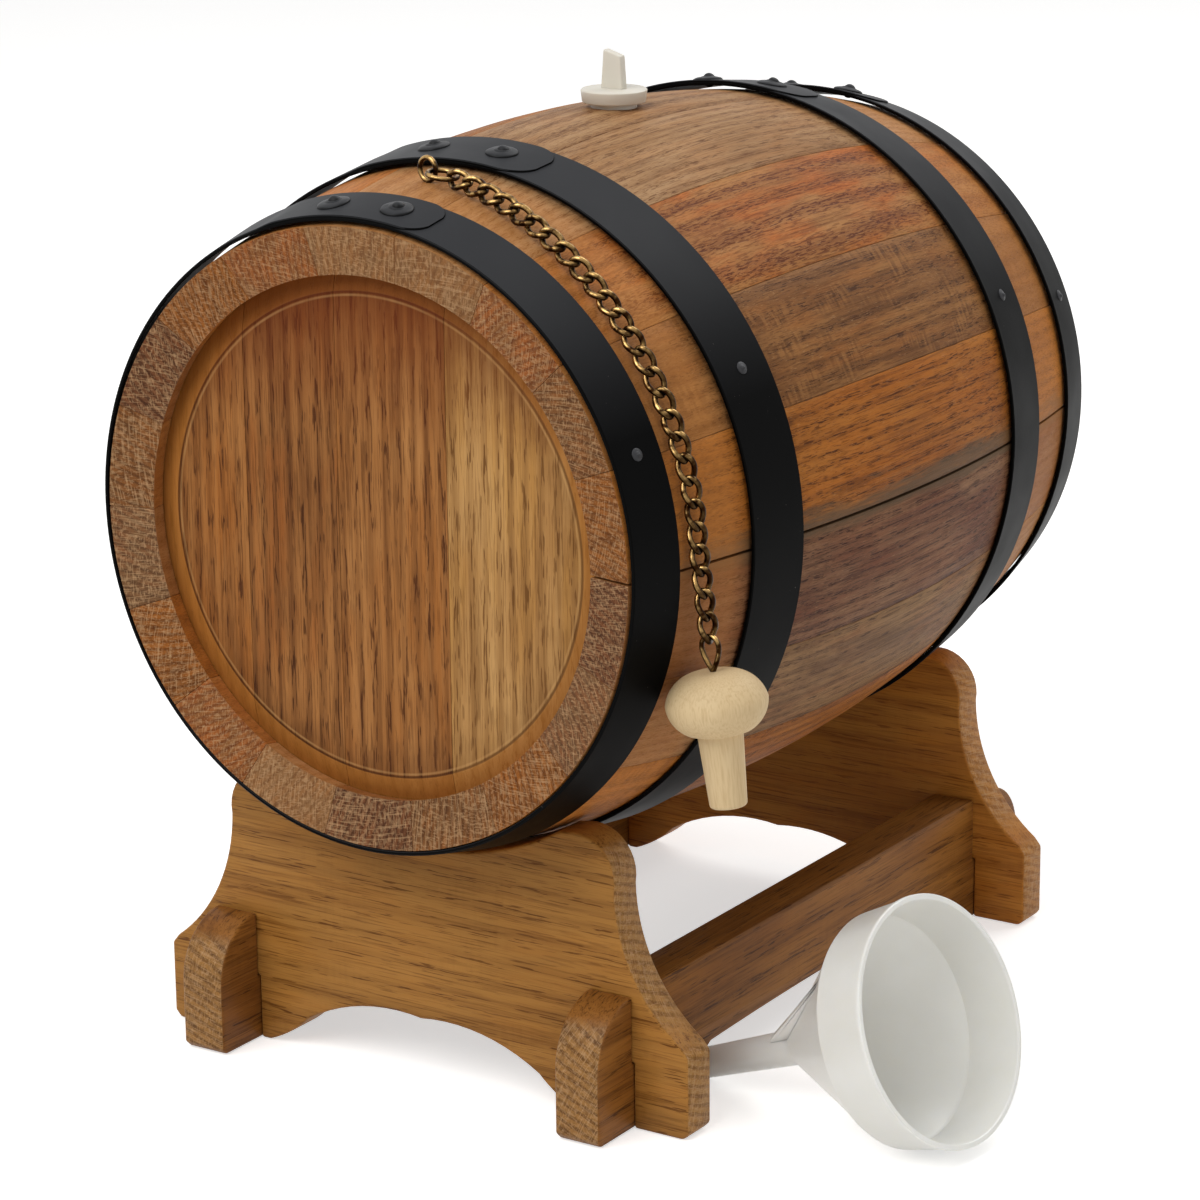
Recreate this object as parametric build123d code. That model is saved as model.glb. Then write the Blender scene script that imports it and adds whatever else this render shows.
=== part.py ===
from build123d import *
import math
import os

# Small oak cask on a stand, in millimetres. +Z is up and the cask's axis runs along Y.
# Everything is drawn with the cask's middle above (0, 0, 0) and the floor at z = 0, and moved
# at the end so that the origin is under the middle of the whole set's box.

# ---- fits -------------------------------------------------------------------------------------
seam = 0.16            # open line between two staves or two head boards
slip = 0.15            # room between pieces that only rest in each other
run = 0.05             # radial room of a shaft that turns or slides in its hole

# ---- cask -------------------------------------------------------------------------------------
half_len = 132.0       # half the length of a stave
r_bilge = 103.5        # outer radius at the middle
r_end = 88.2           # outer radius at the ends
stave_t = 12.3         # thickness of a stave at the middle
chime_t = 13.8         # and at the ends
stave_count = 18
stave_step = 360.0 / stave_count
first_joint = 0.5      # angle of the first joint above the right-hand side
open_joint = 0.7       # the one joint that has dried open
chime_bevel = 3.0      # the end grain slopes in by this much
head_inset = 7.5       # from the stave ends to the face of the head
head_thick = 9.0
wall_step = 1.4        # the wall round the head stands back from the chime
croze_depth = 3.0      # groove below the wall it is cut in
wall_land = 1.35       # the wall ends this far inside the head's face, where the groove begins
inner_land = 0.9       # the groove ends this far outside the head's back
inner_step = 1.0       # the wood behind the groove stands back from the wall
rim_w = 9.65           # how far the bevel of the head comes in from its rim
back_rim_w = 6.65
head_bevel = 2.3
head_back_bevel = 2.9
front_cuts = (-44.0, -12.0, 25.0)
rear_cuts = (-44.0, -14.0, 34.0)

# ---- hoops ------------------------------------------------------------------------------------
hoop_t = 1.2
chime_hoop_w = 17.2
quarter_hoop_w = 22.0
quarter_inset = 58.0   # from the stave ends to the middle of the inner hoops
hoop_lift = 0.5        # the bands bear on the underside and stand off on top
hoop_start, hoop_sweep = 92.0, 359.0     # the strip's under layer, hidden below the lap
lap_left, lap_right = 106.0, 76.0
tongue_round = 0.40    # corner radius of the lap's end, as a share of the band's width
rivet_angles = (97.3, 84.2)
rivet_r, rivet_h, rivet_shank = 4.5, 2.1, 1.9
nail_angles = (21.6, 28.7, 25.4, 21.6)     # one nail in each band, from the front to the rear
nail_r, nail_h, nail_shank, nail_len = 1.75, 0.9, 0.75, 8.0

# ---- bung -------------------------------------------------------------------------------------
bung_hole_r = 6.9
bung_flange_r, bung_flange_h = 9.9, 4.0
bung_stand = 1.3       # flange above the crown of the cask
bung_shank_len = 13.0
bung_tip_r = 6.4
fin_w, fin_t, fin_h = 6.6, 3.0, 11.6

# ---- chain ------------------------------------------------------------------------------------
wire = 1.15
link_len, link_w = 8.6, 5.6
link_gap = 0.12
link_corner = 0.42     # where the wire turns at a link's end, as a share of its half width
pitch = link_len - 2 * wire - link_gap
laid_links = 21
drop_links = 5
chain_inset = 23.0     # from the front stave ends to where it hangs
chain_swing_y = 12.0   # how far it wanders towards the middle at the top
lean = 7.5             # the hanging stretch leans out by this angle
ring_r, ring_wire = 4.2, 1.1
ring_gap = 0.2         # room between the ring and what hangs in it
eye_wire = 1.2
anchor_r = 3.2         # loop of the anchor's eye
pear_w = 6.6           # width over the stopper's pear-shaped eye

# ---- stopper ----------------------------------------------------------------------------------
knob_r = 14.1
knob_top = 8.2         # from the top to the widest part
knob_h = 16.8
stopper_len = 37.6
shank_top_r, shank_tip_r = 6.3, 5.2
pin_depth = 9.0        # screw part of the stopper's eye

# ---- tap on the rear head ---------------------------------------------------------------------
tap_drop = 50.0        # below the cask's axis
tap_plug_r, tap_plug_tip_r = 8.0, 7.2
tap_r = 8.4
tap_reach = 44.0       # from the head to the end of the tap
nozzle_at, nozzle_r, nozzle_len = 25.0, 5.4, 21.0
tap_bore_r = 2.4
collar_r, collar_t = 11.0, 2.9
key_r = 4.6
key_hole_r = key_r + run
key_depth = 10.2       # how far the key reaches below the barrel's axis
cap_r = 6.8            # the key's bead that rests on the barrel
grip_len, grip_r = 28.8, 4.9

# ---- stand ------------------------------------------------------------------------------------
board_t = 12.0
board_inset = 36.2     # from the stave ends to the inner face of an end board
seat_h = 70.58         # lowest point of the saddle
saddle_room = 0.13     # the saddle's radius over the cask's
foot_half = 91.5       # half the width over the feet
foot_h = 25.0
waist_x, waist_z = 67.3, 69.0
horn_x, horn_z = 54.0, 84.8
arch_half, arch_h = 55.0, 17.8
rail_in, rail_t = 58.8, 14.4
rail_h = 39.5
rail_nose = 18.3       # radius of the rounded end, which is all that stands out
rail_foot = 13.8       # from the end board to where the arch begins
rail_arch_h = 13.0
halving_z = 19.7       # height of the halved joint

# ---- funnel -----------------------------------------------------------------------------------
mouth_r = 35.2
band_w, band_r = 16.9, 33.6
cone_end, spout_top_r, spout_tip_r = 52.0, 5.2, 4.45
wall = 1.2
mouth_out = 79.7       # from the right rail to the middle of the mouth
mouth_back = 8.1       # the mouth lies this far inside the rail's arch
funnel_turn, funnel_tilt = -5.6, 21.6


def arc_through(p0, p1, p2):
    """Radius and centre height of the arc through three (y, r) points, the ends level."""
    sag = p1[1] - p0[1]
    half = (p2[0] - p0[0]) / 2
    rad = (half * half + sag * sag) / (2 * sag)
    return rad, p1[1] - rad


OUT_RAD, OUT_C = arc_through((-half_len, r_end), (0, r_bilge), (half_len, r_end))


def r_out(y):
    """Outer radius of the staves at y."""
    return OUT_C + math.sqrt(OUT_RAD ** 2 - y * y)


# ---- what follows from the sizes above ---------------------------------------------------------
r_bilge_in = r_bilge - stave_t
r_chime_in = r_end - chime_t
quarter_hoop_y = half_len - quarter_inset
chain_y = chain_inset - half_len
board_in = half_len - board_inset
saddle_r = r_out(board_in) + saddle_room
axis_z = seat_h + saddle_r
rail_end = board_in + board_t + rail_nose
rail_arch_half = board_in - rail_foot
mouth_x = rail_in + rail_t + mouth_out
mouth_y = mouth_back - rail_arch_half


def spin(shape, angle):
    """Turn a shape about the cask's axis: angle 0 is +X and 90 is up."""
    return Rot(0, -angle, 0) * shape


def at_axis(shape):
    return Pos(0, 0, axis_z) * shape


def on_cask(angle, y, r, normal=None):
    """A plane on the cask at angle and y, at radius r from the axis, its Z pointing out."""
    a = math.radians(angle)
    n = normal if normal else (math.cos(a), 0, math.sin(a))
    return Plane(origin=(r * math.cos(a), y, r * math.sin(a) + axis_z), x_dir=(0, 1, 0), z_dir=n)


# ---- staves -----------------------------------------------------------------------------------
HEAD_Y = half_len - head_inset
WALL_Y = HEAD_Y - wall_land
R_WALL = r_chime_in + wall_step
CROZE = R_WALL + croze_depth
R_HEAD = CROZE - slip
INNER_LIP = HEAD_Y - head_thick + inner_land
R_LIP = R_WALL + inner_step


def stave_profile():
    """Section of a stave: X is the radius, Y runs along the cask."""
    e = half_len
    tongue_out = HEAD_Y - head_bevel + slip
    tongue_in = HEAD_Y - head_thick + head_back_bevel - slip
    end = [(r_end, e), (r_chime_in, e - chime_bevel), (R_WALL, WALL_Y),
           (CROZE, tongue_out), (CROZE, tongue_in), (R_LIP, INNER_LIP)]
    front = [(r, -y) for r, y in reversed(end)]
    edges = [ThreePointArc((r_end, -e), (r_bilge, 0), (r_end, e))]
    edges += [Line(a, b) for a, b in zip(end, end[1:])]
    edges += [ThreePointArc(end[-1], (r_bilge_in, 0), front[0])]
    edges += [Line(a, b) for a, b in zip(front, front[1:])]
    return make_face(edges)


def nail_plane(mid, width, angle):
    """Where the nail of the hoop at y = mid sits, on the outside of the band."""
    r, n = hoop_frame(mid, width, angle, 1)
    return on_cask(angle, mid, r, n)


def staves():
    """All staves, each a bent plank with a chime and a croze at both ends."""
    face = stave_profile()
    out = []
    for i in range(stave_count):
        low = first_joint + i * stave_step
        half_seam = math.degrees(seam / 2 / r_bilge)
        lo = low + half_seam
        hi = low + stave_step - half_seam
        if i == stave_count - 1:
            hi -= math.degrees(open_joint / r_bilge)
        body = at_axis(spin(revolve(face, Axis.Y, hi - lo), hi))
        mid = low + stave_step / 2
        if abs(mid - 90) < stave_step / 2:
            body -= Pos(0, 0, axis_z + r_bilge) * Cylinder(bung_hole_r, 60)
            body -= eye_plane() * Pos(0, 0, -pin_depth / 2) * Cylinder(eye_wire / 2 + run, pin_depth + 2)
        for row in hoop_rows():
            if low < row[2] < low + stave_step:
                hole = Cylinder(nail_shank + run, nail_len + 2)
                body -= nail_plane(*row) * Pos(0, 0, -nail_len / 2) * hole
        out.append(("stave_%02d" % (i + 1), body))
    return out


# ---- heads ------------------------------------------------------------------------------------
def head_disc():
    """The whole head for the rear end: flat, with a bevelled rim that fits the croze."""
    outer, inner = HEAD_Y, HEAD_Y - head_thick
    pts = [(0, inner), (R_HEAD - back_rim_w, inner), (R_HEAD, inner + head_back_bevel),
           (R_HEAD, outer - head_bevel), (R_HEAD - rim_w, outer), (0, outer)]
    face = make_face([Line(a, b) for a, b in zip(pts, pts[1:] + pts[:1])])
    return at_axis(revolve(face, Axis.Y, 360))


def head_boards(name, cuts, disc):
    """The head sawn into its upright boards."""
    edges = (-R_HEAD - 1,) + cuts + (R_HEAD + 1,)
    out = []
    for i, (a, b) in enumerate(zip(edges, edges[1:])):
        w = b - a - seam
        slab = Pos((a + b) / 2, 0, axis_z) * Box(w, 3 * half_len, 2 * r_bilge)
        out.append(("%s_head_board_%d" % (name, i + 1), disc & slab))
    return out


def heads():
    disc = head_disc()
    bored = disc - Pos(0, HEAD_Y, axis_z - tap_drop) * Rot(90, 0, 0) * Cylinder(
        tap_plug_r + slip, 3 * head_thick)
    return head_boards("front", front_cuts, mirror(disc, Plane.XZ)) + head_boards(
        "rear", rear_cuts, bored)


# ---- hoops ------------------------------------------------------------------------------------
def hoop_rows():
    """Middle, width and angle of the nail of each band, from the front to the rear."""
    c, q = half_len - chime_hoop_w / 2 - slip, quarter_hoop_y
    widths = (chime_hoop_w, quarter_hoop_w, quarter_hoop_w, chime_hoop_w)
    return list(zip((-c, -q, q, c), widths, nail_angles))


def hoop_radii(mid, width):
    """Inner radii of the band at its low-y and high-y edges."""
    room = slip + 0.1 + hoop_lift
    return r_out(mid - width / 2) + room, r_out(mid + width / 2) + room


def hoop_frame(mid, width, angle, layers):
    """Distance from the cask's axis to the outside of the band, and the band's normal."""
    r0, r1 = hoop_radii(mid, width)
    a = math.radians(angle)
    r = (r0 + r1) / 2 + layers * hoop_t
    s = hoop_lift * math.sin(a)
    reach = s + math.sqrt(r * r - (hoop_lift * math.cos(a)) ** 2)
    slope = (r1 - r0) / width
    return reach, (math.cos(a), -slope, math.sin(a))


def band(mid, width, layer, start, sweep_angle):
    """A strip of the band, on layer 0 or 1, running down from angle start by sweep_angle."""
    r0, r1 = hoop_radii(mid, width)
    base = layer * (hoop_t - 0.01)
    y0, y1 = mid - width / 2, mid + width / 2
    pts = [(r0 + base, y0), (r1 + base, y1), (r1 + base + hoop_t, y1), (r0 + base + hoop_t, y0)]
    face = make_face([Line(a, b) for a, b in zip(pts, pts[1:] + pts[:1])])
    return Pos(0, 0, hoop_lift) * at_axis(spin(revolve(face, Axis.Y, sweep_angle), start))


def hoop(mid, width, nail):
    """A riveted band: one strip round the cask, its end lapped over the start on top."""
    ring = band(mid, width, 0, hoop_start, hoop_sweep)
    lap = band(mid, width, 1, lap_left, lap_left - lap_right)
    r = hoop_radii(mid, width)[0] + hoop_t
    x0 = r * math.cos(math.radians(lap_left)) - 4
    x1 = r * math.cos(math.radians(lap_right)) - 1.2
    plan = Pos((x0 + x1) / 2, mid) * Rectangle(x1 - x0, width + 2)
    tip = plan.vertices().sort_by(Axis.X)[-2:]
    plan = fillet(tip, width * tongue_round)
    lap &= Pos(0, 0, axis_z) * extrude(plan, r_bilge * 1.5)
    body = ring + lap
    for a in rivet_angles:
        reach, n = hoop_frame(mid, width, a, 2)
        pl = on_cask(a, mid, reach, n)
        body -= pl * Pos(0, 0, -1.5) * Cylinder(rivet_shank + run, 8)
    body -= nail_plane(mid, width, nail) * Cylinder(nail_shank + run, 8)
    return body


def domed(radius, height, shank_r, depth, lift):
    """A blunt cone of a head with a plain shank below it; z = 0 is the face it sits on."""
    side = [(0, -depth), (shank_r, -depth), (shank_r, lift), (radius, lift),
            (radius * 0.68, height * 0.55), (radius * 0.3, height * 0.94), (0, height)]
    face = make_face([Line(a, b) for a, b in zip(side, side[1:] + side[:1])])
    return revolve(Plane.XZ * face, Axis.Z, 360)


def rivets(mid, width):
    """Both rivets of a lap, through its two layers."""
    one = domed(rivet_r, rivet_h, rivet_shank, 2 * hoop_t + 0.1, 0.12)
    out = []
    for a in rivet_angles:
        reach, n = hoop_frame(mid, width, a, 2)
        out.append(on_cask(a, mid, reach + 0.02, n) * one)
    return Compound(out)


def nails():
    """One small nail holds each band to the staves."""
    one = domed(nail_r, nail_h, nail_shank, nail_len, 0.03)
    return Compound([nail_plane(*row) * one for row in hoop_rows()])


def hoops():
    names = ("front_chime", "front_quarter", "rear_quarter", "rear_chime")
    out = []
    for name, (y, w, nail) in zip(names, hoop_rows()):
        out.append((name + "_hoop", hoop(y, w, nail)))
        out.append((name + "_rivets", rivets(y, w)))
    return out + [("hoop_nails", nails())]


# ---- bung -------------------------------------------------------------------------------------
def bung():
    """Moulded plug: round flange, tapered shank and an upright fin to pull it by."""
    top = axis_z + r_bilge + bung_stand
    r0 = bung_hole_r - run
    edges = [(0, -bung_shank_len), (bung_tip_r, -bung_shank_len), (r0, -bung_shank_len + 4),
             (r0, 0), (bung_flange_r - 0.4, 0), (bung_flange_r, bung_flange_h),
             (0, bung_flange_h)]
    face = make_face([Line(a, b) for a, b in zip(edges, edges[1:] + edges[:1])])
    body = revolve(Plane.XZ * face, Axis.Z, 360)
    w = fin_w / 2
    side = [(-w - 0.5, bung_flange_h - 0.5), (w + 0.5, bung_flange_h - 0.5),
            (w - 0.2, bung_flange_h + fin_h - 1.8), (-w + 0.5, bung_flange_h + fin_h)]
    fin = make_face([Line(a, b) for a, b in zip(side, side[1:] + side[:1])])
    body += extrude(Plane.XZ * fin, fin_t / 2, both=True)
    return Pos(0, 0, top) * body


# ---- chain ------------------------------------------------------------------------------------
def link_solid(round_ends):
    """One link: a closed loop of six-sided wire, long way along X, flat in XY.

    Round ends are for the links that something turns on."""
    h = (link_len - link_w) / 2
    r = (link_w - wire) / 2
    corner = link_corner * r
    bend = [(-h, r), (h, r), (h + r, corner), (h + r, -corner), (h, -r)]
    section = Plane(origin=(-h, r, 0), z_dir=(1, 0, 0)) * RegularPolygon(wire / 2, 6)
    half = sweep(section, path=Polyline(*bend), transition=Transition.RIGHT)
    if round_ends:
        half += Pos(h + r, 0) * Rot(90, 0, 0) * Cylinder(wire / 2, 2 * corner)
    return half + Rot(0, 0, 180) * half


def wire_ring(radius, thick):
    """A round ring in XY, bent from six-sided wire."""
    section = Pos(radius, 0) * RegularPolygon(thick / 2, 6)
    return revolve(Plane.XZ * section, Axis.Z, 360)


# every second link stands on edge on the wood, and carries the chain's middle at this height
CHAIN_RISE = (slip + wire / 2) / math.cos(math.asin(-chain_y / OUT_RAD)) + (link_w - wire) / 2
HANG_R = r_out(chain_y) + CHAIN_RISE


def chain_point(angle):
    """Middle of the chain where it lies on the cask."""
    a = math.radians(angle)
    y = chain_y + chain_swing_y * (max(angle, 0) / 88.0) ** 3
    r = r_out(y) + CHAIN_RISE
    return Vector(r * math.cos(a), y, r * math.sin(a) + axis_z)


def laid_points():
    """Link ends on the cask, from where the chain leaves it up to the anchor."""
    pts = [chain_point(lean)]
    angle = lean
    for _ in range(laid_links):
        lo, hi = angle, angle + 2 * math.degrees(pitch / r_end)
        for _ in range(40):
            angle = (lo + hi) / 2
            if (chain_point(angle) - pts[-1]).length < pitch:
                lo = angle
            else:
                hi = angle
        pts.append(chain_point(angle))
    return pts


def place_link(one, a, b, roll):
    """Lay a link between two points; roll 0 is flat on the cask, 90 stands on edge."""
    mid = (a + b) * 0.5
    d = (b - a).normalized()
    up = Vector(mid.X, 0, mid.Z - axis_z).normalized()
    side = up.cross(d).normalized()
    flat = d.cross(side)
    t = math.radians(roll)
    n = flat * math.cos(t) + side * math.sin(t)
    return Plane(origin=mid, x_dir=d, z_dir=n) * one


def laid_chain():
    """The links on the cask, in turn on edge and flat."""
    pts = laid_points()
    one = link_solid(False)
    rolls = [90.0 if i % 2 == 0 else 0.0 for i in range(laid_links)]
    return Compound([place_link(one, a, b, r) for a, b, r in zip(pts, pts[1:], rolls)])


def drop_dir():
    t = math.radians(lean)
    return Vector(math.sin(t), 0, -math.cos(t))


def drop_points():
    """Link ends of the hanging stretch, from the cask down."""
    return [chain_point(lean) + drop_dir() * (pitch * i) for i in range(drop_links + 1)]


def drop_chain():
    """The hanging stretch. Its first and last links have a round wire across, to turn on."""
    pts = drop_points()
    plain, turning = link_solid(False), link_solid(True)
    out = []
    for i, (a, b) in enumerate(zip(pts, pts[1:])):
        one = turning if i in (0, drop_links - 1) else plain
        out.append(place_link(one, a, b, 0.0 if i % 2 == 0 else 90.0))
    return Compound(out)


def eye_pose():
    """Middle of the anchor's loop and of its ring, and the direction towards the chain."""
    pts = laid_points()
    end, before = pts[-1], pts[-2]
    d = (before - end).normalized()
    near = end - d * ((link_len - wire - pitch) / 2)
    ring_c = near - d * (ring_r - ring_wire / 2 - wire / 2 - ring_gap)
    loop_c = ring_c - d * (ring_r + anchor_r - eye_wire / 2 - ring_wire / 2 - ring_gap)
    return loop_c, ring_c, d


def eye_plane():
    """On the wood right under the anchor's loop, Z pointing out."""
    loop_c, _, _ = eye_pose()
    angle = math.degrees(math.atan2(loop_c.Z - axis_z, loop_c.X))
    return on_cask(angle, loop_c.Y, r_out(loop_c.Y))


def eye_pin(top):
    """The straight screw part of an eye, from pin_depth below the wood up to top."""
    return Pos(0, 0, (top - pin_depth) / 2) * Cylinder(eye_wire / 2, top + pin_depth)


def anchor():
    """Screw eye in the top stave: a round loop that stands along the chain."""
    loop_c, _, d = eye_pose()
    pl = eye_plane()
    height = (loop_c - pl.origin).length
    frame = Plane(origin=pl.origin, x_dir=d - pl.z_dir * d.dot(pl.z_dir), z_dir=pl.z_dir)
    loop = Plane.XZ * Pos(0, height) * wire_ring(anchor_r, eye_wire)
    return frame * (loop + eye_pin(height - anchor_r + 0.2))


def anchor_ring():
    _, ring_c, d = eye_pose()
    up = Vector(0, 0, 1)
    side = up.cross(d).normalized()
    return Plane(origin=ring_c, x_dir=d, z_dir=d.cross(side)) * wire_ring(ring_r, ring_wire)


# ---- stopper ----------------------------------------------------------------------------------
def eye_drop():
    """From the last link's end to the top of the knob: the knob just touches the cask."""
    reach = r_out(chain_y) + knob_r + 2 * slip
    along = math.sqrt(reach ** 2 - HANG_R ** 2)
    return along - drop_links * pitch - knob_top


def stopper_plane():
    """On the knob's top, Z along the chain, pointing up."""
    d = drop_dir()
    o = drop_points()[-1] + d * eye_drop()
    return Plane(origin=o, x_dir=(d.Z * -1, 0, d.X), z_dir=d * -1)


def stopper():
    """Turned wooden stopper: mushroom knob, tapered shank, a hole for its eye."""
    k, flat, ease = knob_r, 3.4, 0.9
    neck, tip = (k * 0.66, 0.5 - knob_h), (shank_tip_r - ease, -stopper_len)
    crown = [ThreePointArc((flat, 0), (k * 0.80, -knob_top * 0.36), (k, -knob_top)),
             ThreePointArc((k, -knob_top), (k * 0.91, -knob_h * 0.76), neck)]
    rest = [neck, (shank_top_r, -knob_h), (shank_tip_r, ease - stopper_len), tip,
            (0, -stopper_len), (0, 0), (flat, 0)]
    edges = crown + [Line(a, b) for a, b in zip(rest, rest[1:])]
    body = revolve(Plane.XZ * make_face(edges), Axis.Z, 360)
    body -= Pos(0, 0, -pin_depth / 2) * Cylinder(eye_wire / 2 + run, pin_depth + 0.4)
    return stopper_plane() * body


def stopper_eye():
    """Pear-shaped wire eye: the last link's wire runs through it, just under its top."""
    top = eye_drop() + (eye_wire + link_gap) / 2
    w = (pear_w - eye_wire) / 2
    bend = [(0, top), (0.45 * w, top), (w, 0.72 * top), (w, 0.42 * top), (0.1, 0.6 * eye_wire)]
    section = Plane(origin=(0, top, 0), z_dir=(1, 0, 0)) * RegularPolygon(eye_wire / 2, 6)
    half = sweep(section, path=Polyline(*bend), transition=Transition.RIGHT)
    loop = Plane.XZ * (half + mirror(half, Plane.YZ))
    return stopper_plane() * (loop + eye_pin(0.8 * eye_wire))


# ---- tap --------------------------------------------------------------------------------------
def tap_frame():
    return Plane(origin=(0, HEAD_Y, axis_z - tap_drop), x_dir=(1, 0, 0), z_dir=(0, 1, 0))


def tap():
    """Turned wooden tap: tapered plug in the head, beaded barrel and a nozzle below."""
    r = tap_r
    end = -head_thick - 3
    boss = nozzle_at - 1.4 * key_r, nozzle_at + 1.4 * key_r
    pts = [(0, end), (tap_plug_tip_r, end), (tap_plug_r, 2 * slip), (collar_r, 2 * slip),
           (collar_r, 2 * slip + collar_t), (r, collar_t + 2.1), (r * 0.93, boss[0] - 6.6),
           (r + 0.6, boss[0] - 3.6), (r + 0.6, boss[1] + 3), (r * 0.72, boss[1] + 6),
           (r * 0.80, tap_reach - 4), (r * 0.5, tap_reach), (0, tap_reach)]
    face = make_face([Line(a, b) for a, b in zip(pts, pts[1:] + pts[:1])])
    body = tap_frame() * revolve(Plane.XZ * face, Axis.Z, 360)
    down = Pos(0, HEAD_Y + nozzle_at, axis_z - tap_drop)
    body += down * Pos(0, 0, -nozzle_len / 2) * Cone(nozzle_r * 0.82, nozzle_r, nozzle_len)
    body -= tap_frame() * Pos(0, 0, (nozzle_at + end) / 2) * Cylinder(tap_bore_r, nozzle_at - end)
    body -= down * Pos(0, 0, -nozzle_len / 2 - r / 2) * Cylinder(tap_bore_r, nozzle_len - r / 2)
    hole_top, hole_end = r + 1.6, -key_depth - 0.7
    body -= down * Pos(0, 0, (hole_top + hole_end) / 2) * Cylinder(key_hole_r, hole_top - hole_end)
    return body


def tap_key():
    """The key: a plug with a cross bore, under a flat turned grip."""
    rest, stem = tap_r + 1.6, key_r - 0.8
    grip_z = rest + 11.2
    pts = [(0, -key_depth), (key_r, -key_depth), (key_r, rest), (cap_r, rest),
           (cap_r, rest + 2.6), (stem, rest + 4.6), (stem, grip_z), (0, grip_z)]
    face = make_face([Line(a, b) for a, b in zip(pts, pts[1:] + pts[:1])])
    body = revolve(Plane.XZ * face, Axis.Z, 360)
    g, h = grip_r, grip_len / 2
    side = [(0.9 * g, 0), (0.8 * g, 0.43 * h), (g, 0.62 * h), (0.82 * g, 0.86 * h), (0.4 * g, h)]
    outline = [(0, -h)] + [(a, -b) for a, b in reversed(side)] + side[1:] + [(0, h)]
    grip = revolve(Plane.XZ * make_face(Polyline(*outline, close=True)), Axis.Z, 360)
    body += Pos(0, 0, grip_z) * Rot(0, 90, 0) * grip
    body -= Rot(0, 90, 0) * Cylinder(tap_bore_r, 4 * key_r)
    return Pos(0, HEAD_Y + nozzle_at, axis_z - tap_drop) * body


# ---- stand ------------------------------------------------------------------------------------
def board_outline():
    """Half outline of an end board from the middle of the arch round to the saddle."""
    sx = horn_x - 5.0
    sz = axis_z - math.sqrt(saddle_r ** 2 - sx ** 2)
    mid_x = (foot_half + waist_x) / 2 - 2.6
    mid_z = foot_h + (waist_z - foot_h) * 0.33
    return [ThreePointArc((0, arch_h), (arch_half * 0.44, arch_h * 0.93),
                          (arch_half * 0.745, arch_h * 0.53)),
            ThreePointArc((arch_half * 0.745, arch_h * 0.53),
                          (arch_half * 0.87, arch_h * 0.22), (arch_half + 0.5, 0)),
            Line((arch_half + 0.5, 0), (foot_half - 2, 0)),
            Line((foot_half - 2, 0), (foot_half, 2)),
            Line((foot_half, 2), (foot_half, foot_h - 1)),
            Line((foot_half, foot_h - 1), (foot_half - 2.2, foot_h + 1.6)),
            ThreePointArc((foot_half - 2.2, foot_h + 1.6), (mid_x, mid_z), (waist_x, waist_z)),
            ThreePointArc((waist_x, waist_z), (waist_x - 3.4, horn_z - 4.2), (horn_x, horn_z)),
            Line((horn_x, horn_z), (sx, sz))], (sx, sz)


def end_board(y0):
    """One sawn end board with its saddle, arch and the two notches for the rails."""
    half, top = board_outline()
    saddle = ThreePointArc(top, (0, axis_z - saddle_r), (-top[0], top[1]))
    other = [mirror(e, Plane.YZ) for e in half]
    face = make_face(half + other + [saddle])
    body = extrude(Plane.XZ * face, -board_t)
    body = Pos(0, y0, 0) * body
    for s in (-1, 1):
        x = s * (rail_in + rail_t / 2)
        body -= Pos(x, y0 + board_t / 2, halving_z / 2 - 5) * Box(
            rail_t + 2 * slip, board_t * 2, halving_z + 10)
    return body


def rail(side):
    """One side rail: rounded ends, a shallow arch below, notched for the end boards."""
    e, n, h = rail_end, rail_nose, rail_h
    b, bh = rail_arch_half, rail_arch_h
    k = n * (1 - math.sqrt(0.5))
    half = [ThreePointArc((0, bh), (b * 0.42, bh * 0.98), (b * 0.80, bh * 0.92)),
            ThreePointArc((b * 0.80, bh * 0.92), (b * 0.92, bh * 0.47), (b + 2, 0)),
            Line((b + 2, 0), (e - 2, 0)), Line((e - 2, 0), (e, 2)), Line((e, 2), (e, h - n)),
            ThreePointArc((e, h - n), (e - k, h - k), (e - n, h)),
            Line((e - n, h), (0, h))]
    face = make_face(half + [mirror(x, Plane.YZ) for x in half])
    face = Plane(origin=(0, 0, 0), x_dir=(0, 1, 0), z_dir=(1, 0, 0)) * face
    body = Pos(rail_in if side > 0 else -rail_in - rail_t, 0, 0) * extrude(face, rail_t)
    for s in (-1, 1):
        y = s * (board_in + board_t / 2)
        body -= Pos(side * (rail_in + rail_t / 2), y, halving_z - slip + 20) * Box(
            rail_t * 2, board_t + 2 * slip, 40)
    return body


def stand():
    return [("front_end_board", end_board(-board_in - board_t)),
            ("rear_end_board", end_board(board_in)),
            ("left_rail", rail(-1)), ("right_rail", rail(1))]


# ---- funnel -----------------------------------------------------------------------------------
def funnel_frame():
    """On the middle of the mouth, Z pointing out of it; the back of the band is on the floor."""
    p, t = math.radians(funnel_turn), math.radians(funnel_tilt)
    a = Vector(math.cos(t) * math.cos(p), math.cos(t) * math.sin(p), math.sin(t))
    up = Vector(-math.sin(t) * math.cos(p), -math.sin(t) * math.sin(p), math.cos(t))
    height = band_r * math.cos(t) + band_w * math.sin(t)
    return Plane(origin=(mouth_x, mouth_y, height), x_dir=up, z_dir=a)


def funnel_length():
    """Long enough that the spout's tip comes down to the floor too."""
    t = math.radians(funnel_tilt)
    return band_w + (band_r - spout_tip_r) / math.tan(t)


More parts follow.
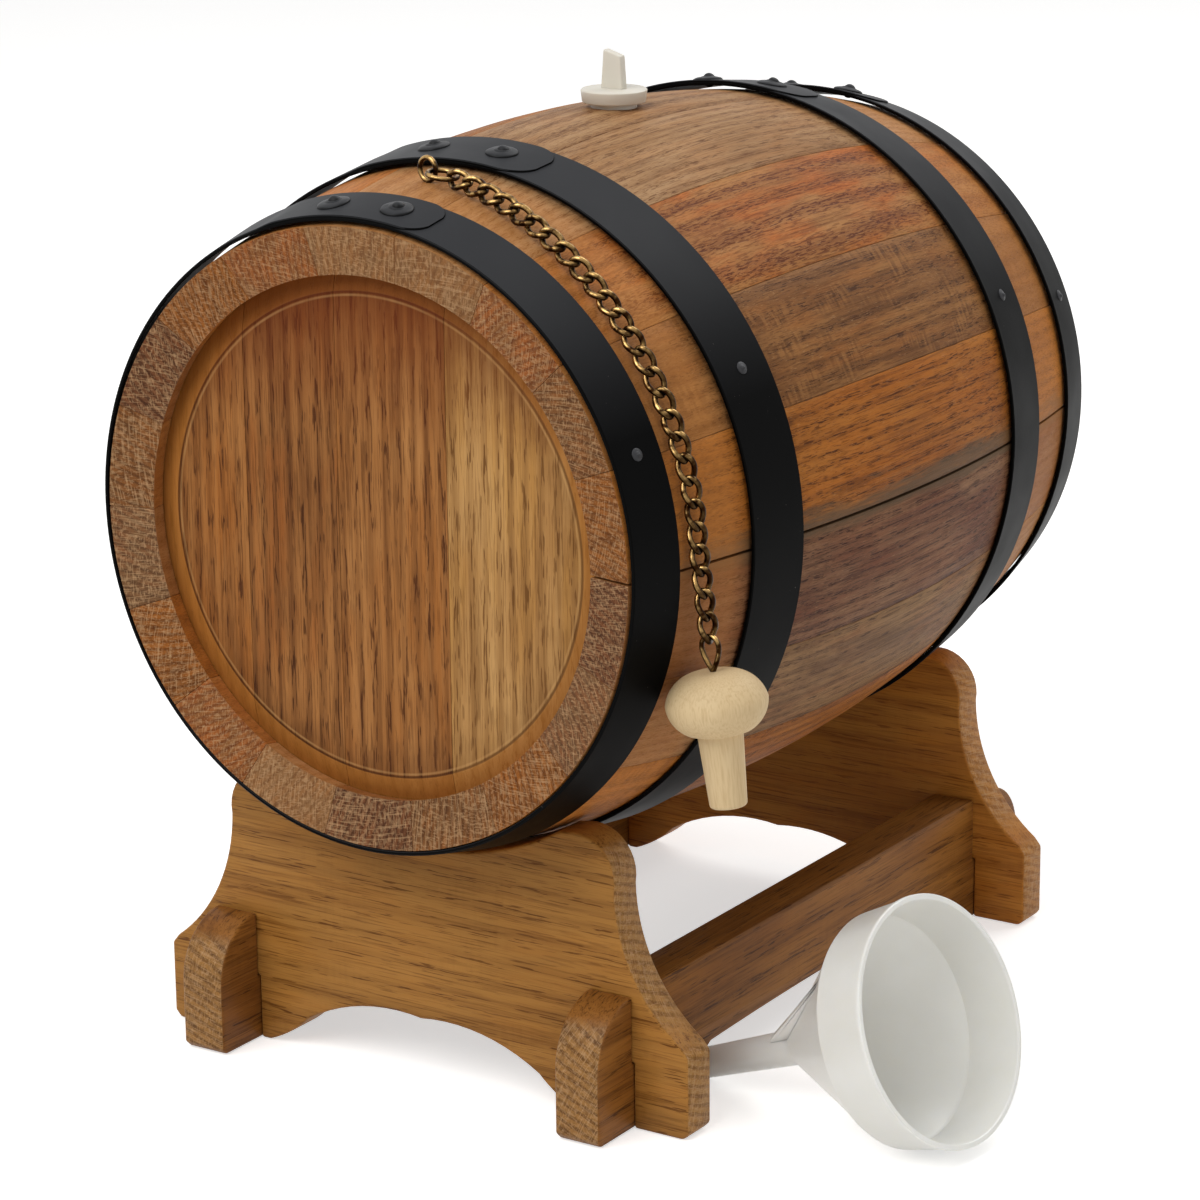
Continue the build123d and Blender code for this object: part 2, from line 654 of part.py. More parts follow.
def funnel():
    """Moulded funnel: rolled lip, deep band, cone, spout and the rib between them."""
    end = funnel_length()
    outer = [(mouth_r + 0.5, 0), (mouth_r + 0.5, -1.6), (mouth_r, -2.0), (band_r, -band_w),
             (band_r - 1.6, -band_w - 1.0), (spout_top_r, -cone_end), (spout_tip_r, -end)]
    inner = [(spout_tip_r - 1.0, -end), (spout_top_r - wall, -cone_end - 0.3),
             (band_r - 1.4 - wall, -band_w + 0.4), (band_r - wall, -band_w + 1.6),
             (mouth_r - wall, 0)]
    pts = outer + inner
    face = make_face([Line(a, b) for a, b in zip(pts, pts[1:] + pts[:1])])
    body = revolve(Plane.XZ * face, Axis.Z, 360)
    slope = (band_r - 1.6 - spout_top_r) / (cone_end - band_w - 1.0)
    r_mid = band_r - 1.6 - slope * 3.0
    rib = [(r_mid, -band_w - 3.2), (spout_top_r + 1.6, -cone_end - 5.0),
           (spout_top_r + 0.4, -cone_end - 6.4), (spout_top_r - 0.6, -cone_end - 6.4),
           (spout_top_r - 0.6, -cone_end + 0.4), (r_mid - 0.5, -band_w - 4.6)]
    web = make_face([Line(a, b) for a, b in zip(rib, rib[1:] + rib[:1])])
    body += Rot(0, 0, 45) * extrude(Plane.XZ * web, wall / 2, both=True)
    return funnel_frame() * body


# ---- all --------------------------------------------------------------------------------------
def all_parts():
    out = stand() + staves() + heads() + hoops()
    out += [("chain_anchor", anchor()), ("chain_ring", anchor_ring()),
            ("laid_chain", laid_chain()), ("drop_chain", drop_chain()),
            ("stopper", stopper()), ("stopper_eye", stopper_eye()), ("bung", bung()),
            ("tap", tap()), ("tap_key", tap_key()), ("funnel", funnel())]
    return out


def main():
    os.makedirs("parts", exist_ok=True)
    parts = all_parts()
    boxes = [p.bounding_box() for _, p in parts]
    x0, x1 = min(b.min.X for b in boxes), max(b.max.X for b in boxes)
    y0, y1 = min(b.min.Y for b in boxes), max(b.max.Y for b in boxes)
    cx, cy = (x0 + x1) / 2, (y0 + y1) / 2
    print("box", x0, x1, y0, y1, min(b.min.Z for b in boxes), max(b.max.Z for b in boxes))
    print("shift", -cx, -cy)
    for name, shape in parts:
        export_step(Pos(-cx, -cy, 0) * shape, "parts/%s.step" % name)
    print(len(parts), "pieces")
    end_wire = drop_dir() * ((wire + link_gap) / 2)
    for label, p in (("chain turns at", drop_points()[0] - end_wire),
                     ("stopper turns at", drop_points()[-1] + end_wire)):
        print(label, p.X - cx, p.Y - cy, p.Z)
    print("tap", -cx, HEAD_Y + nozzle_at - cy, axis_z - tap_drop)


main()
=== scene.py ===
# %% [markdown]
# # Dressing a small oak cask
# The object is a presentation cask: bent oak staves held by riveted black hoops, lying in an oak
# stand, with a bung, a stopper on a brass chain, a wooden tap and a filling funnel. The frame
# brings every piece at its real size, with its joints. This lesson rebuilds what the eye rests on
# as clean meshes in the same places, and gives each surface the finish of the real material.

# %% Open the frame
import math
import bmesh
import bpy
from mathutils import Matrix, Vector


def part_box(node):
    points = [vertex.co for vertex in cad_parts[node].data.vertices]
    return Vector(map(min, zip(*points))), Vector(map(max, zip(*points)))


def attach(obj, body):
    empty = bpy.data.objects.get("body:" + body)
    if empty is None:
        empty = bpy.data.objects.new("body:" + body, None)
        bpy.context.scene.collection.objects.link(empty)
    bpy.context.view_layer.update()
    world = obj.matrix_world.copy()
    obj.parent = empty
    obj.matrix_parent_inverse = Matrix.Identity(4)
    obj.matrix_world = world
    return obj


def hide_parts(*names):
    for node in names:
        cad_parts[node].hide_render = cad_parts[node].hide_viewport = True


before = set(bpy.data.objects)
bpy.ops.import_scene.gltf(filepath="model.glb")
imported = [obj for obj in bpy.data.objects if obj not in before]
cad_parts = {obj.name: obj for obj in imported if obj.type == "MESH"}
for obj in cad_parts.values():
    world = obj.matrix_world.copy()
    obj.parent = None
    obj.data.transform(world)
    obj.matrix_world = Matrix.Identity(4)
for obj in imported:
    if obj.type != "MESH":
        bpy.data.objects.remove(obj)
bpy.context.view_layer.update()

# %% [markdown]
# ## Where things are
# All sizes below are millimetres, counted from the floor under the middle of the cask, because a
# cooper measures a cask from its middle. The two rails lie evenly about that point, so their boxes
# tell where it is in the frame.

# %% The cask's own millimetres
MM = 0.001
HALF_LENGTH = 132.0
BILGE_R = 103.5
END_R = 88.2
BOARD_INSET = 36.2
BOARD_IN = HALF_LENGTH - BOARD_INSET
SEAT_Z = 70.58
SAG = BILGE_R - END_R
BEND_R = (HALF_LENGTH ** 2 + SAG ** 2) / (2 * SAG)


def outer_r(y):
    """Outer radius of the cask at y, which swells along one long arc."""
    return BILGE_R - BEND_R + math.sqrt(BEND_R ** 2 - y * y)


SADDLE_ROOM = 0.13
SADDLE_R = outer_r(BOARD_IN) + SADDLE_ROOM
AXIS_Z = SEAT_Z + SADDLE_R
left_low, left_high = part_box("left_rail")
right_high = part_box("right_rail")[1]
MIDDLE_X = (left_low.x + right_high.x) / 2 / MM
MIDDLE_Y = (left_low.y + left_high.y) / 2 / MM


def placed(point):
    """A point in the cask's millimetres as a point of the frame, in metres."""
    return Vector((point[0] + MIDDLE_X, point[1] + MIDDLE_Y, point[2])) * MM


print("middle of the cask in the frame:", [round(v, 4) for v in placed((0, 0, AXIS_Z))])

# %% [markdown]
# ## Meshes in code
# Every piece starts as points and faces. Points that meet are merged, normals are turned outwards
# and only edges sharper than a crease angle stay sharp, so that curves shade smoothly.

# %% Points and faces to a closed piece
CREASE = 38.0


def solid(name, points, faces, crease=CREASE):
    """A closed mesh from points in millimetres, merged, turned outwards, smooth but for creases."""
    mesh = bpy.data.meshes.new(name)
    mesh.from_pydata([placed(p) for p in points], [], faces)
    work = bmesh.new()
    work.from_mesh(mesh)
    bmesh.ops.remove_doubles(work, verts=work.verts, dist=0.002 * MM)
    bmesh.ops.recalc_face_normals(work, faces=work.faces)
    work.to_mesh(mesh)
    work.free()
    mesh.shade_smooth()
    mesh.set_sharp_from_angle(angle=math.radians(crease))
    piece = bpy.data.objects.new(name, mesh)
    bpy.context.scene.collection.objects.link(piece)
    return piece


def joined(*shells):
    """Several (points, faces) shells as one."""
    points, faces = [], []
    for more, sides in shells:
        start = len(points)
        points += more
        faces += [[start + i for i in side] for side in sides]
    return points, faces


# %% Turning and sweeping
def turned(outline, at, steps=64, closed=False):
    """Turn a (radius, height) outline about the Z axis of the matrix at, as on a lathe."""
    points, faces = [], []
    n = len(outline)
    for i in range(steps):
        a = 2 * math.pi * i / steps
        points += [at @ Vector((r * math.cos(a), r * math.sin(a), h)) for r, h in outline]
    for i in range(steps):
        here, there = i * n, (i + 1) % steps * n
        for j in range(n if closed else n - 1):
            k = (j + 1) % n
            faces.append((here + j, here + k, there + k, there + j))
    return points, faces


def skinned(sections, loop=False):
    """Skin rings of points of one length; unless they loop, the first and last are closed off."""
    points = [p for ring in sections for p in ring]
    n, count = len(sections[0]), len(sections)
    faces = []
    for i in range(count if loop else count - 1):
        here, there = i * n, (i + 1) % count * n
        for j in range(n):
            k = (j + 1) % n
            faces.append((here + j, here + k, there + k, there + j))
    if not loop:
        faces.append(tuple(range(n))[::-1])
        faces.append(tuple(range((count - 1) * n, count * n)))
    return points, faces


# %% Arcs, and a place to stand things on
def through(a, b, c, steps):
    """Points on the arc from a through b to c, all in 2D."""
    (ax, ay), (bx, by), (cx, cy) = a, b, c
    # the middle of the circle through all three
    d = 2 * (ax * (by - cy) + bx * (cy - ay) + cx * (ay - by))
    aa, bb, cc = ax * ax + ay * ay, bx * bx + by * by, cx * cx + cy * cy
    ux = (aa * (by - cy) + bb * (cy - ay) + cc * (ay - by)) / d
    uy = (aa * (cx - bx) + bb * (ax - cx) + cc * (bx - ax)) / d
    # the arc is swept the way that passes b
    start = math.atan2(ay - uy, ax - ux)
    middle = (math.atan2(by - uy, bx - ux) - start) % (2 * math.pi)
    sweep = (math.atan2(cy - uy, cx - ux) - start) % (2 * math.pi)
    if middle > sweep:
        sweep -= 2 * math.pi
    r = math.hypot(ax - ux, ay - uy)
    turns = (start + sweep * i / steps for i in range(steps + 1))
    return [(ux + r * math.cos(t), uy + r * math.sin(t)) for t in turns]


def standing(origin, up, ahead=(1, 0, 0)):
    """A matrix at origin whose Z is up and whose X is ahead, squared to it."""
    z = Vector(up).normalized()
    x = (Vector(ahead) - z * z.dot(Vector(ahead))).normalized()
    y = z.cross(x)
    turn = Matrix((x, y, z)).transposed().to_4x4()
    return Matrix.Translation(origin) @ turn


# %% From a finished mesh to a piece of the frame
def finish(piece, material):
    """Give a piece this one material."""
    piece.data.materials.clear()
    piece.data.materials.append(material)


def dressed(piece, material, slot, body, *nodes):
    """Give a piece its material and body, and hide the CAD nodes it stands for; slot is not used.
    """
    finish(piece, material)
    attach(piece, body)
    if nodes:
        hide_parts(*nodes)
    return piece


# %% Keeping what modifiers make
def baked(piece):
    """Keep what a piece's modifiers make as its own plain mesh."""
    graph = bpy.context.evaluated_depsgraph_get()
    mesh = bpy.data.meshes.new_from_object(piece.evaluated_get(graph))
    piece.modifiers.clear()
    piece.data = mesh
    return piece


EASED_STEPS, EASED_ANGLE = 3, 40.0


def eased(piece, width):
    """Round a piece's sharp edges by a width in millimetres, and keep the result."""
    bevel = piece.modifiers.new("eased edges", "BEVEL")
    bevel.width = width * MM
    bevel.segments = EASED_STEPS
    bevel.limit_method = "ANGLE"
    bevel.angle_limit = math.radians(EASED_ANGLE)
    bevel.harden_normals = False
    baked(piece)
    piece.data.shade_smooth()
    piece.data.set_sharp_from_angle(angle=math.radians(EASED_ANGLE))
    return piece


# %% [markdown]
# ## Nodes for materials and for Geometry Nodes
# One helper adds any node: its settings are the node's own properties, and its inputs are sockets
# by name or number, given a value or joined to another node's output.

# %% One helper for every node
def add(tree, kind, inputs=None, **settings):
    """Add a node to a tree, set its properties and fill or join its inputs."""
    node = tree.nodes.new(kind)
    for name, value in settings.items():
        setattr(node, name, value)
    for name, value in (inputs or {}).items():
        if isinstance(value, bpy.types.NodeSocket):
            tree.links.new(value, node.inputs[name])
        else:
            node.inputs[name].default_value = value
    return node


def colour(code):
    """A hex colour such as #B07A45 as the linear RGBA that a shader wants."""
    channels = [int(code[i:i + 2], 16) / 255 for i in (1, 3, 5)]
    linear = [c / 12.92 if c <= 0.04045 else ((c + 0.055) / 1.055) ** 2.4 for c in channels]
    return (*linear, 1.0)


def per_metre(across, along, deep):
    """The scale that makes a noise's features this many millimetres in each direction."""
    return (1 / (across * MM), 1 / (along * MM), 1 / (deep * MM))


def new_material(name):
    """A node material with only its output and a Principled shader, and its tree."""
    material = bpy.data.materials.new(name)
    material.use_nodes = True
    tree = material.node_tree
    tree.nodes.clear()
    output = tree.nodes.new("ShaderNodeOutputMaterial")
    shader = tree.nodes.new("ShaderNodeBsdfPrincipled")
    tree.links.new(shader.outputs[0], output.inputs["Surface"])
    return material, tree, shader


# %% Small steps that every material takes
def noise(tree, space, size, **settings):
    """Noise whose features have the given size in millimetres, across, along and deep."""
    scaled = add(tree, "ShaderNodeMapping", {"Vector": space, "Scale": per_metre(*size)})
    options = {"Vector": scaled.outputs[0], "Scale": 1.0, "Detail": 3.0}
    options.update(settings)
    return add(tree, "ShaderNodeTexNoise", options).outputs["Fac"]


def share(tree, value, low, high, top=1.0, base=0.0):
    """Base below low, top above high, and even in between."""
    return add(tree, "ShaderNodeMapRange", {
        "Value": value, "From Min": low, "From Max": high,
        "To Min": base, "To Max": top}).outputs[0]


def blend(tree, factor, a, b):
    """Colour a where the factor is 0 and b where it is 1."""
    return add(tree, "ShaderNodeMix", {"Factor": factor, "A": a, "B": b},
               data_type="RGBA").outputs["Result"]


def scaled(tree, value, by, plus=0.0):
    """A value times another, plus a third."""
    return add(tree, "ShaderNodeMath", {0: value, 1: by, 2: plus},
               operation="MULTIPLY_ADD").outputs[0]


def apart(tree, value, other):
    """How far a value is from another."""
    gap = add(tree, "ShaderNodeMath", {0: value, 1: other}, operation="SUBTRACT")
    return add(tree, "ShaderNodeMath", {0: gap.outputs[0]}, operation="ABSOLUTE").outputs[0]


def from_axis(tree, x, z):
    """Distance of x and z from the axis of the cask."""
    flat = add(tree, "ShaderNodeCombineXYZ", {0: x, 1: z}).outputs[0]
    return add(tree, "ShaderNodeVectorMath", {0: flat}, operation="LENGTH").outputs["Value"]


def raised(tree, shader, height, strength, depth):
    """Let a height pattern, this many millimetres deep, bump the surface."""
    bump = add(tree, "ShaderNodeBump", {
        "Height": height, "Strength": strength, "Distance": depth * MM})
    tree.links.new(bump.outputs[0], shader.inputs["Normal"])


# %% [markdown]
# ## Oak
# European oak is ring-porous: each year's growth starts with a band of wide vessels, which a saw
# cuts open as dark dashes some millimetres long. Between them run pale, shiny medullary rays. How
# a plank looks depends on how it was sawn from the log. Flat-sawn planks show wandering growth
# bands and many dashes, quarter-sawn ones straight bands with ray flecks across them, and
# rift-sawn ones only fine straight dashes. End grain shows the same wood cut across: rings, dots
# and fine pale rays.

# %% Three ways to saw oak
# Bands, rays and flecks are how strong each shows, band_w is a year's growth in millimetres, and
# pore holds the width and length of a vessel's dash and how much noise it takes to draw one.
FLAT_SAWN = {"bands": 0.55, "band_w": 9.0, "swirl": 13.0, "rays": 0.0, "flecks": 0.3,
             "pore": (0.38, 4.5, 0.52)}
QUARTER_SAWN = {"bands": 0.5, "band_w": 7.0, "swirl": 11.0, "rays": 0.75, "flecks": 0.3,
                "pore": (0.35, 6.0, 0.56)}
RIFT_SAWN = {"bands": 0.35, "band_w": 4.0, "swirl": 5.0, "rays": 0.1, "flecks": 0.2,
             "pore": (0.38, 8.0, 0.55)}
print("oak sawn three ways, years", RIFT_SAWN["band_w"], "to", FLAT_SAWN["band_w"], "mm wide")


# %% The grain's own space
# Every plank is shifted by its seed in this space, so that no two show the same wood. A wave
# texture repeats every 2 pi / 20 of its space, so ONE_BAND as its scale gives one band for each
# unit.
SEED_SHIFT = (0.137, 0.371, 0.053)
ONE_BAND = 0.314


def grain_space(tree, grain, seed):
    """Position as (across, along, deep) in metres, and how much a face is end grain."""
    place = add(tree, "ShaderNodeTexCoord")
    middle = placed((0, 0, AXIS_Z))
    local = add(tree, "ShaderNodeMapping", {
        "Vector": place.outputs["Object"], "Location": (-middle.x, -middle.y, -middle.z)})
    x, y, z = add(tree, "ShaderNodeSeparateXYZ", {0: local.outputs[0]}).outputs
    normal = add(tree, "ShaderNodeSeparateXYZ", {0: place.outputs["Normal"]})
    ends = normal.outputs["XYZ".index(grain)] if grain in "XYZ" else normal.outputs[1]
    order = {"X": (z, x, y), "Y": (z, y, x), "Z": (x, z, y)}.get(grain)
    if grain == "stave":
        angle = add(tree, "ShaderNodeMath", {0: z, 1: x}, operation="ARCTAN2")
        order = (scaled(tree, angle.outputs[0], BILGE_R * MM), y, from_axis(tree, x, z))
    joint = add(tree, "ShaderNodeCombineXYZ", dict(enumerate(order)))
    moved = add(tree, "ShaderNodeMapping", {
        "Vector": joint.outputs[0], "Location": [seed * shift for shift in SEED_SHIFT]})
    facing = add(tree, "ShaderNodeMath", {0: ends}, operation="ABSOLUTE")
    return moved.outputs[0], facing.outputs[0]


def growth_bands(tree, space, width, length, swirl, **settings):
    """Bands this many millimetres wide that wander over this length."""
    warp = add(tree, "ShaderNodeMapping", {
        "Vector": space, "Scale": per_metre(width, length, width)})
    return add(tree, "ShaderNodeTexWave", {
        "Vector": warp.outputs[0], "Scale": ONE_BAND, "Distortion": swirl, "Detail": 2.0,
        "Detail Scale": 0.6, "Detail Roughness": 0.6}, **settings).outputs["Fac"]


# %% [markdown]
# A sawn face is painted in layers, as a grainer would: slow drifts of tone, the growth bands,
# streaks and fibres, the dashes of the vessels, and last the pale flecks and rays. End grain is
# duller or paler than the face, because cut fibres soak up stain and tear into tiny pale strokes.

# %% Sawn faces
FLECK, WEATHERED = "#C49A6C", "#5A4834"


def sawn_face(tree, space, tones, cut, blush):
    """Colour, height and fibres of a face along the grain."""
    light, middle, dark, warm = tones
    w, length, edge = cut["pore"]
    ring = growth_bands(tree, space, cut["band_w"], 30 * cut["band_w"], cut["swirl"])
    fibre = noise(tree, space, (0.5, 34, 0.5), Detail=4.0, Roughness=0.65)
    streak = noise(tree, space, (2.2, 70, 2.2), Detail=4.0, Roughness=0.6)
    dash = share(tree, noise(tree, space, (w, length, w), Detail=2.0), edge, edge + 0.04)
    pores = scaled(tree, dash, scaled(tree, ring, 0.8, 0.25))

    # slow drifts of tone and hue
    drift = share(tree, noise(tree, space, (14, 50, 14), Detail=3.0), 0.35, 0.65)
    wood = blend(tree, drift, light, middle)
    hue = share(tree, noise(tree, space, (9, 40, 9), Detail=3.0), 0.45, 0.62, blush)
    wood = blend(tree, hue, wood, warm)
    # growth bands, darkest in the late wood
    wood = blend(tree, scaled(tree, ring, cut["bands"]), wood, middle)
    late = share(tree, ring, 0.5, 1.0, cut["bands"] * 0.55)
    wood = blend(tree, late, wood, dark)
    # streaks, fibres and the dashes of the vessels
    wood = blend(tree, share(tree, streak, 0.53, 0.66, 0.42), wood, dark)
    wood = blend(tree, share(tree, streak, 0.47, 0.34, 0.42), wood, light)
    wood = blend(tree, share(tree, fibre, 0.53, 0.65, 0.55), wood, dark)
    wood = blend(tree, scaled(tree, pores, 0.9), wood, dark)
    # pale flecks, and rays that cross the grain in patches
    fleck = noise(tree, space, (0.3, 3.4, 0.3), Detail=2.0, Roughness=0.6)
    wood = blend(tree, share(tree, fleck, 0.62, 0.7, cut["flecks"]), wood, colour(FLECK))
    ripple = noise(tree, space, (9.0, 1.5, 6.0), Detail=1.0)
    where = share(tree, noise(tree, space, (10, 26, 10), Detail=1.0), 0.5, 0.62, cut["rays"])
    wood = blend(tree, scaled(tree, share(tree, ripple, 0.5, 0.64, 0.6), where), wood, light)
    wood = blend(tree, scaled(tree, share(tree, ripple, 0.5, 0.36, 0.5), where), wood, dark)
    return wood, scaled(tree, pores, -1.0, fibre), fibre


# %% A weathered edge
def weathered(tree, space, wood, edge, reach):
    """Grey the wood along an edge, this many millimetres wide, as rain does where a joint opens."""
    across = add(tree, "ShaderNodeSeparateXYZ", {0: space}).outputs[0]
    wander = noise(tree, space, (4, 40, 4), Detail=4.0, Roughness=0.65)
    ragged = scaled(tree, wander, 3.0, -1.5)
    away = scaled(tree, apart(tree, across, edge), 1 / (reach * MM), ragged)
    return blend(tree, share(tree, away, 1.0, 0.3, 0.8), wood, colour(WEATHERED))


# %% End grain
FADED = (0.5, "#6C482A")
TORN = "#C09A70"
TORN_STROKES = (((0.4, 60, 8), 0.36), ((2.4, 60, 0.45), 0.32), ((1.2, 60, 1.2), 0.28))
PITH_AWAY = 0.06


def end_grain(tree, space, tones, seed, aged):
    """Colour of a face across the grain: rings round a far pith, pore dots and torn fibres."""
    light, middle, dark, warm = tones
    far = (PITH_AWAY * math.sin(seed * 2.4), 0.0, PITH_AWAY * math.cos(seed * 2.4))
    spun = add(tree, "ShaderNodeMapping", {
        "Vector": space, "Rotation": (0, seed * 1.9, 0)}).outputs[0]
    pith = add(tree, "ShaderNodeMapping", {"Vector": space, "Location": far}).outputs[0]
    ring = growth_bands(tree, pith, 2.6, 400, 2.0, wave_type="RINGS", rings_direction="Y")
    wood = blend(tree, share(tree, noise(tree, spun, (7, 60, 7)), 0.38, 0.62), middle, warm)
    wood = blend(tree, aged[0], wood, colour(aged[1]))
    wood = blend(tree, share(tree, ring, 0.4, 0.85, 0.5), wood, dark)
    # patches that took more stain, and the vessels cut across
    patch = noise(tree, spun, (3.5, 60, 5.0), Detail=4.0, Roughness=0.6)
    wood = blend(tree, share(tree, patch, 0.5, 0.7, 0.55), wood, dark)
    dots = share(tree, noise(tree, spun, (0.45, 30, 0.45), Detail=1.0), 0.52, 0.64, 0.6)
    wood = blend(tree, scaled(tree, dots, scaled(tree, ring, 0.6, 0.4)), wood, dark)
    for size, most in TORN_STROKES:
        torn = share(tree, noise(tree, spun, size, Detail=2.0, Roughness=0.5), 0.55, 0.62, most)
        wood = blend(tree, torn, wood, colour(TORN))
    return wood


# %% The rim of a head
# painted shadow of the chime over a head's top, its colour and heights, and a painted highlight
# inside the groove
CHIME_SHADOW, PAINTED_GLINT = "#682C0C", "#D6A66A"
CHIME_SHADOW_LOW, CHIME_SHADOW_HIGH = 34.0, 70.0


def rim_and_groove(tree, wood, relief, dark, flat_r, rim):
    """A head's rim in its own tone, painted shade near it and in its groove, a painted glint, the
    chime's painted shadow.
    """
    place = add(tree, "ShaderNodeTexCoord").outputs["Object"]
    middle = placed((0, 0, AXIS_Z))
    x, _, z = add(tree, "ShaderNodeSeparateXYZ", {0: place}).outputs
    reach = from_axis(tree, scaled(tree, x, 1.0, -middle.x), scaled(tree, z, 1.0, -middle.z))
    wander = noise(tree, place, (9, 9, 9), Detail=3.0)
    # painted shade: darker towards the rim, with an uneven border; and the bevel in its own tone
    near = scaled(tree, wander, 16 * MM, reach)
    wood = blend(tree, share(tree, near, flat_r - 3 * MM, flat_r + 11 * MM, 0.45), wood, dark)
    bevel = share(tree, reach, flat_r, flat_r + 0.3 * MM)
    wood = blend(tree, scaled(tree, bevel, 0.5), wood, colour(rim))
    # the groove is bumped, and darkened with painted shade
    groove = share(tree, apart(tree, reach, flat_r), 0.15 * MM, 0.5 * MM, 0.0, 1.0)
    wood = blend(tree, scaled(tree, groove, 0.75), wood, dark)
    # painted shadow of the chime over the head's top, and a painted highlight just inside the
    # groove
    low, high = middle.z + CHIME_SHADOW_LOW * MM, middle.z + CHIME_SHADOW_HIGH * MM
    chime_shadow = share(tree, scaled(tree, wander, 14 * MM, z), low, high, 0.6)
    wood = blend(tree, chime_shadow, wood, colour(CHIME_SHADOW))
    # painted highlight: a pale line just inside the groove
    inside = apart(tree, reach, flat_r - 0.9 * MM)
    glint = scaled(tree, share(tree, inside, 0.1 * MM, 0.5 * MM, 0.0, 0.5), wander)
    wood = blend(tree, glint, wood, colour(PAINTED_GLINT))
    return wood, scaled(tree, groove, -2.5, relief)


# %% Oak, put together
END_BAND_ORANGE = "#CC8440"
END_BAND_START, END_BAND_FULL = 84.0, 92.0


def oak(name, tones, grain, cut, seed=0.0, blush=0.5, worn=None, gloss=0.5, coat=0.0, rim=None,
        aged=FADED):
    """Oak in light, middle, dark and warm hex tones, sawn one of three ways.

    Worn is the angle of a weathered edge and how far it reaches. Staves are more orange between the
    hoops at both ends. Rim is for heads: where the flat face ends, and the bevel's colour. Aged is
    how much the end grain has turned, and to which colour."""
    material, tree, shader = new_material(name)
    tones = [colour(tone) for tone in tones]
    space, ends = grain_space(tree, grain, seed)
    wood, relief, fibre = sawn_face(tree, space, tones, cut, blush)
    if worn:
        edge = math.radians(worn[0]) * BILGE_R * MM + seed * SEED_SHIFT[0]
        wood = weathered(tree, space, wood, edge, worn[1])
    if grain == "stave":
        # staves turn more orange between the hoops at both ends
        place = add(tree, "ShaderNodeTexCoord").outputs["Object"]
        along = add(tree, "ShaderNodeSeparateXYZ", {0: place}).outputs[1]
        away = apart(tree, along, placed((0, 0, 0)).y)
        end_band = share(tree, away, END_BAND_START * MM, END_BAND_FULL * MM, 0.36)
        wood = blend(tree, end_band, wood, colour(END_BAND_ORANGE))
    across = end_grain(tree, space, tones, seed, aged)
    wood = blend(tree, share(tree, ends, 0.62, 0.78), wood, across)
    if rim:
        wood, relief = rim_and_groove(tree, wood, relief, tones[2], *rim)
    tree.links.new(wood, shader.inputs["Base Color"])
    rough = share(tree, fibre, 0.3, 0.7, 1.1 - gloss, 0.96 - gloss)
    tree.links.new(rough, shader.inputs["Roughness"])
    raised(tree, shader, relief, 0.35, 0.25)
    shader.inputs["Specular IOR Level"].default_value = 0.08
    shader.inputs["Coat Weight"].default_value = coat
    shader.inputs["Coat Roughness"].default_value = 0.3
    return material


# %% [markdown]
# ## Staves
# A stave is a plank bent by fire: wide at the bilge, narrow and a little thicker at the ends, cut
# with a bevelled chime and with the croze, the groove that the head sits in. One outline in the
# plane through the cask's axis is carried round by an angle. At both long edges the outline is
# drawn in a little, so each edge is eased and the joints catch a line of shadow.

# %% Outline of a stave
STAVE_T, CHIME_T = 12.3, 13.8
CHIME_BEVEL, WALL_STEP, CROZE_DEPTH = 3.0, 1.4, 3.0
HEAD_INSET, HEAD_THICK = 7.5, 9.0
HEAD_Y = HALF_LENGTH - HEAD_INSET
CHIME_R = END_R - CHIME_T
WALL_R = CHIME_R + WALL_STEP
CROZE_R = WALL_R + CROZE_DEPTH


def stave_outline():
    """The (radius, y) outline of a stave, from the front chime along the outside and back."""
    outside = [(outer_r(y), y) for y in (HALF_LENGTH * (i / 20 - 1) for i in range(41))]
    # the chime's bevel, the short wall, and the croze down to the stave's inside
    end = [(CHIME_R, HALF_LENGTH - CHIME_BEVEL), (WALL_R, HEAD_Y - 1.35),
           (CROZE_R, HEAD_Y - 2.15), (CROZE_R, HEAD_Y - HEAD_THICK + 2.75),
           (WALL_R + 1.0, HEAD_Y - HEAD_THICK + 0.9)]
    lip_r, lip_y = end[-1]
    inside = through((lip_r, lip_y), (BILGE_R - STAVE_T, 0), (lip_r, -lip_y), 24)[1:-1]
    return outside + end + inside + [(r, -y) for r, y in reversed(end)]


def drawn_in(outline, by):
    """An outline moved inwards by a distance, corner by corner."""
    out = []
    n = len(outline)
    area = sum(outline[i - 1][0] * outline[i][1] - outline[i][0] * outline[i - 1][1]
               for i in range(n))
    side = by if area > 0 else -by
    # each corner moves along its mitre, and sharp ones are held back
    for i in range(n):
        before, here, after = (Vector(outline[(i + k) % n]) for k in (-1, 0, 1))
        a = (here - before).normalized()
        b = (after - here).normalized()
        inwards = Vector((-a.y - b.y, a.x + b.x)) / (1 + max(-0.5, a.dot(b)))
        out.append(tuple(here + inwards * side))
    return out


print("stave outline of", len(stave_outline()), "points")

# %% A stave between two angles
EDGE, EDGE_DROP = 0.3, 0.14


def stave_shape(low, high):
    """Points and faces of a stave between two angles in degrees."""
    outline = stave_outline()
    eased_outline = drawn_in(outline, EDGE_DROP)
    ease = math.degrees(EDGE / BILGE_R)
    inner = [low + ease + (high - low - 2 * ease) * i / 6 for i in range(7)]
    sections = []
    for angle in [low] + inner + [high]:
        a = math.radians(angle)
        drawn = eased_outline if angle in (low, high) else outline
        sections.append([Vector((r * math.cos(a), y, r * math.sin(a) + AXIS_Z)) for r, y in drawn])
    return skinned(sections)


# %% The bung hole
BUNG_HOLE_R = 6.9


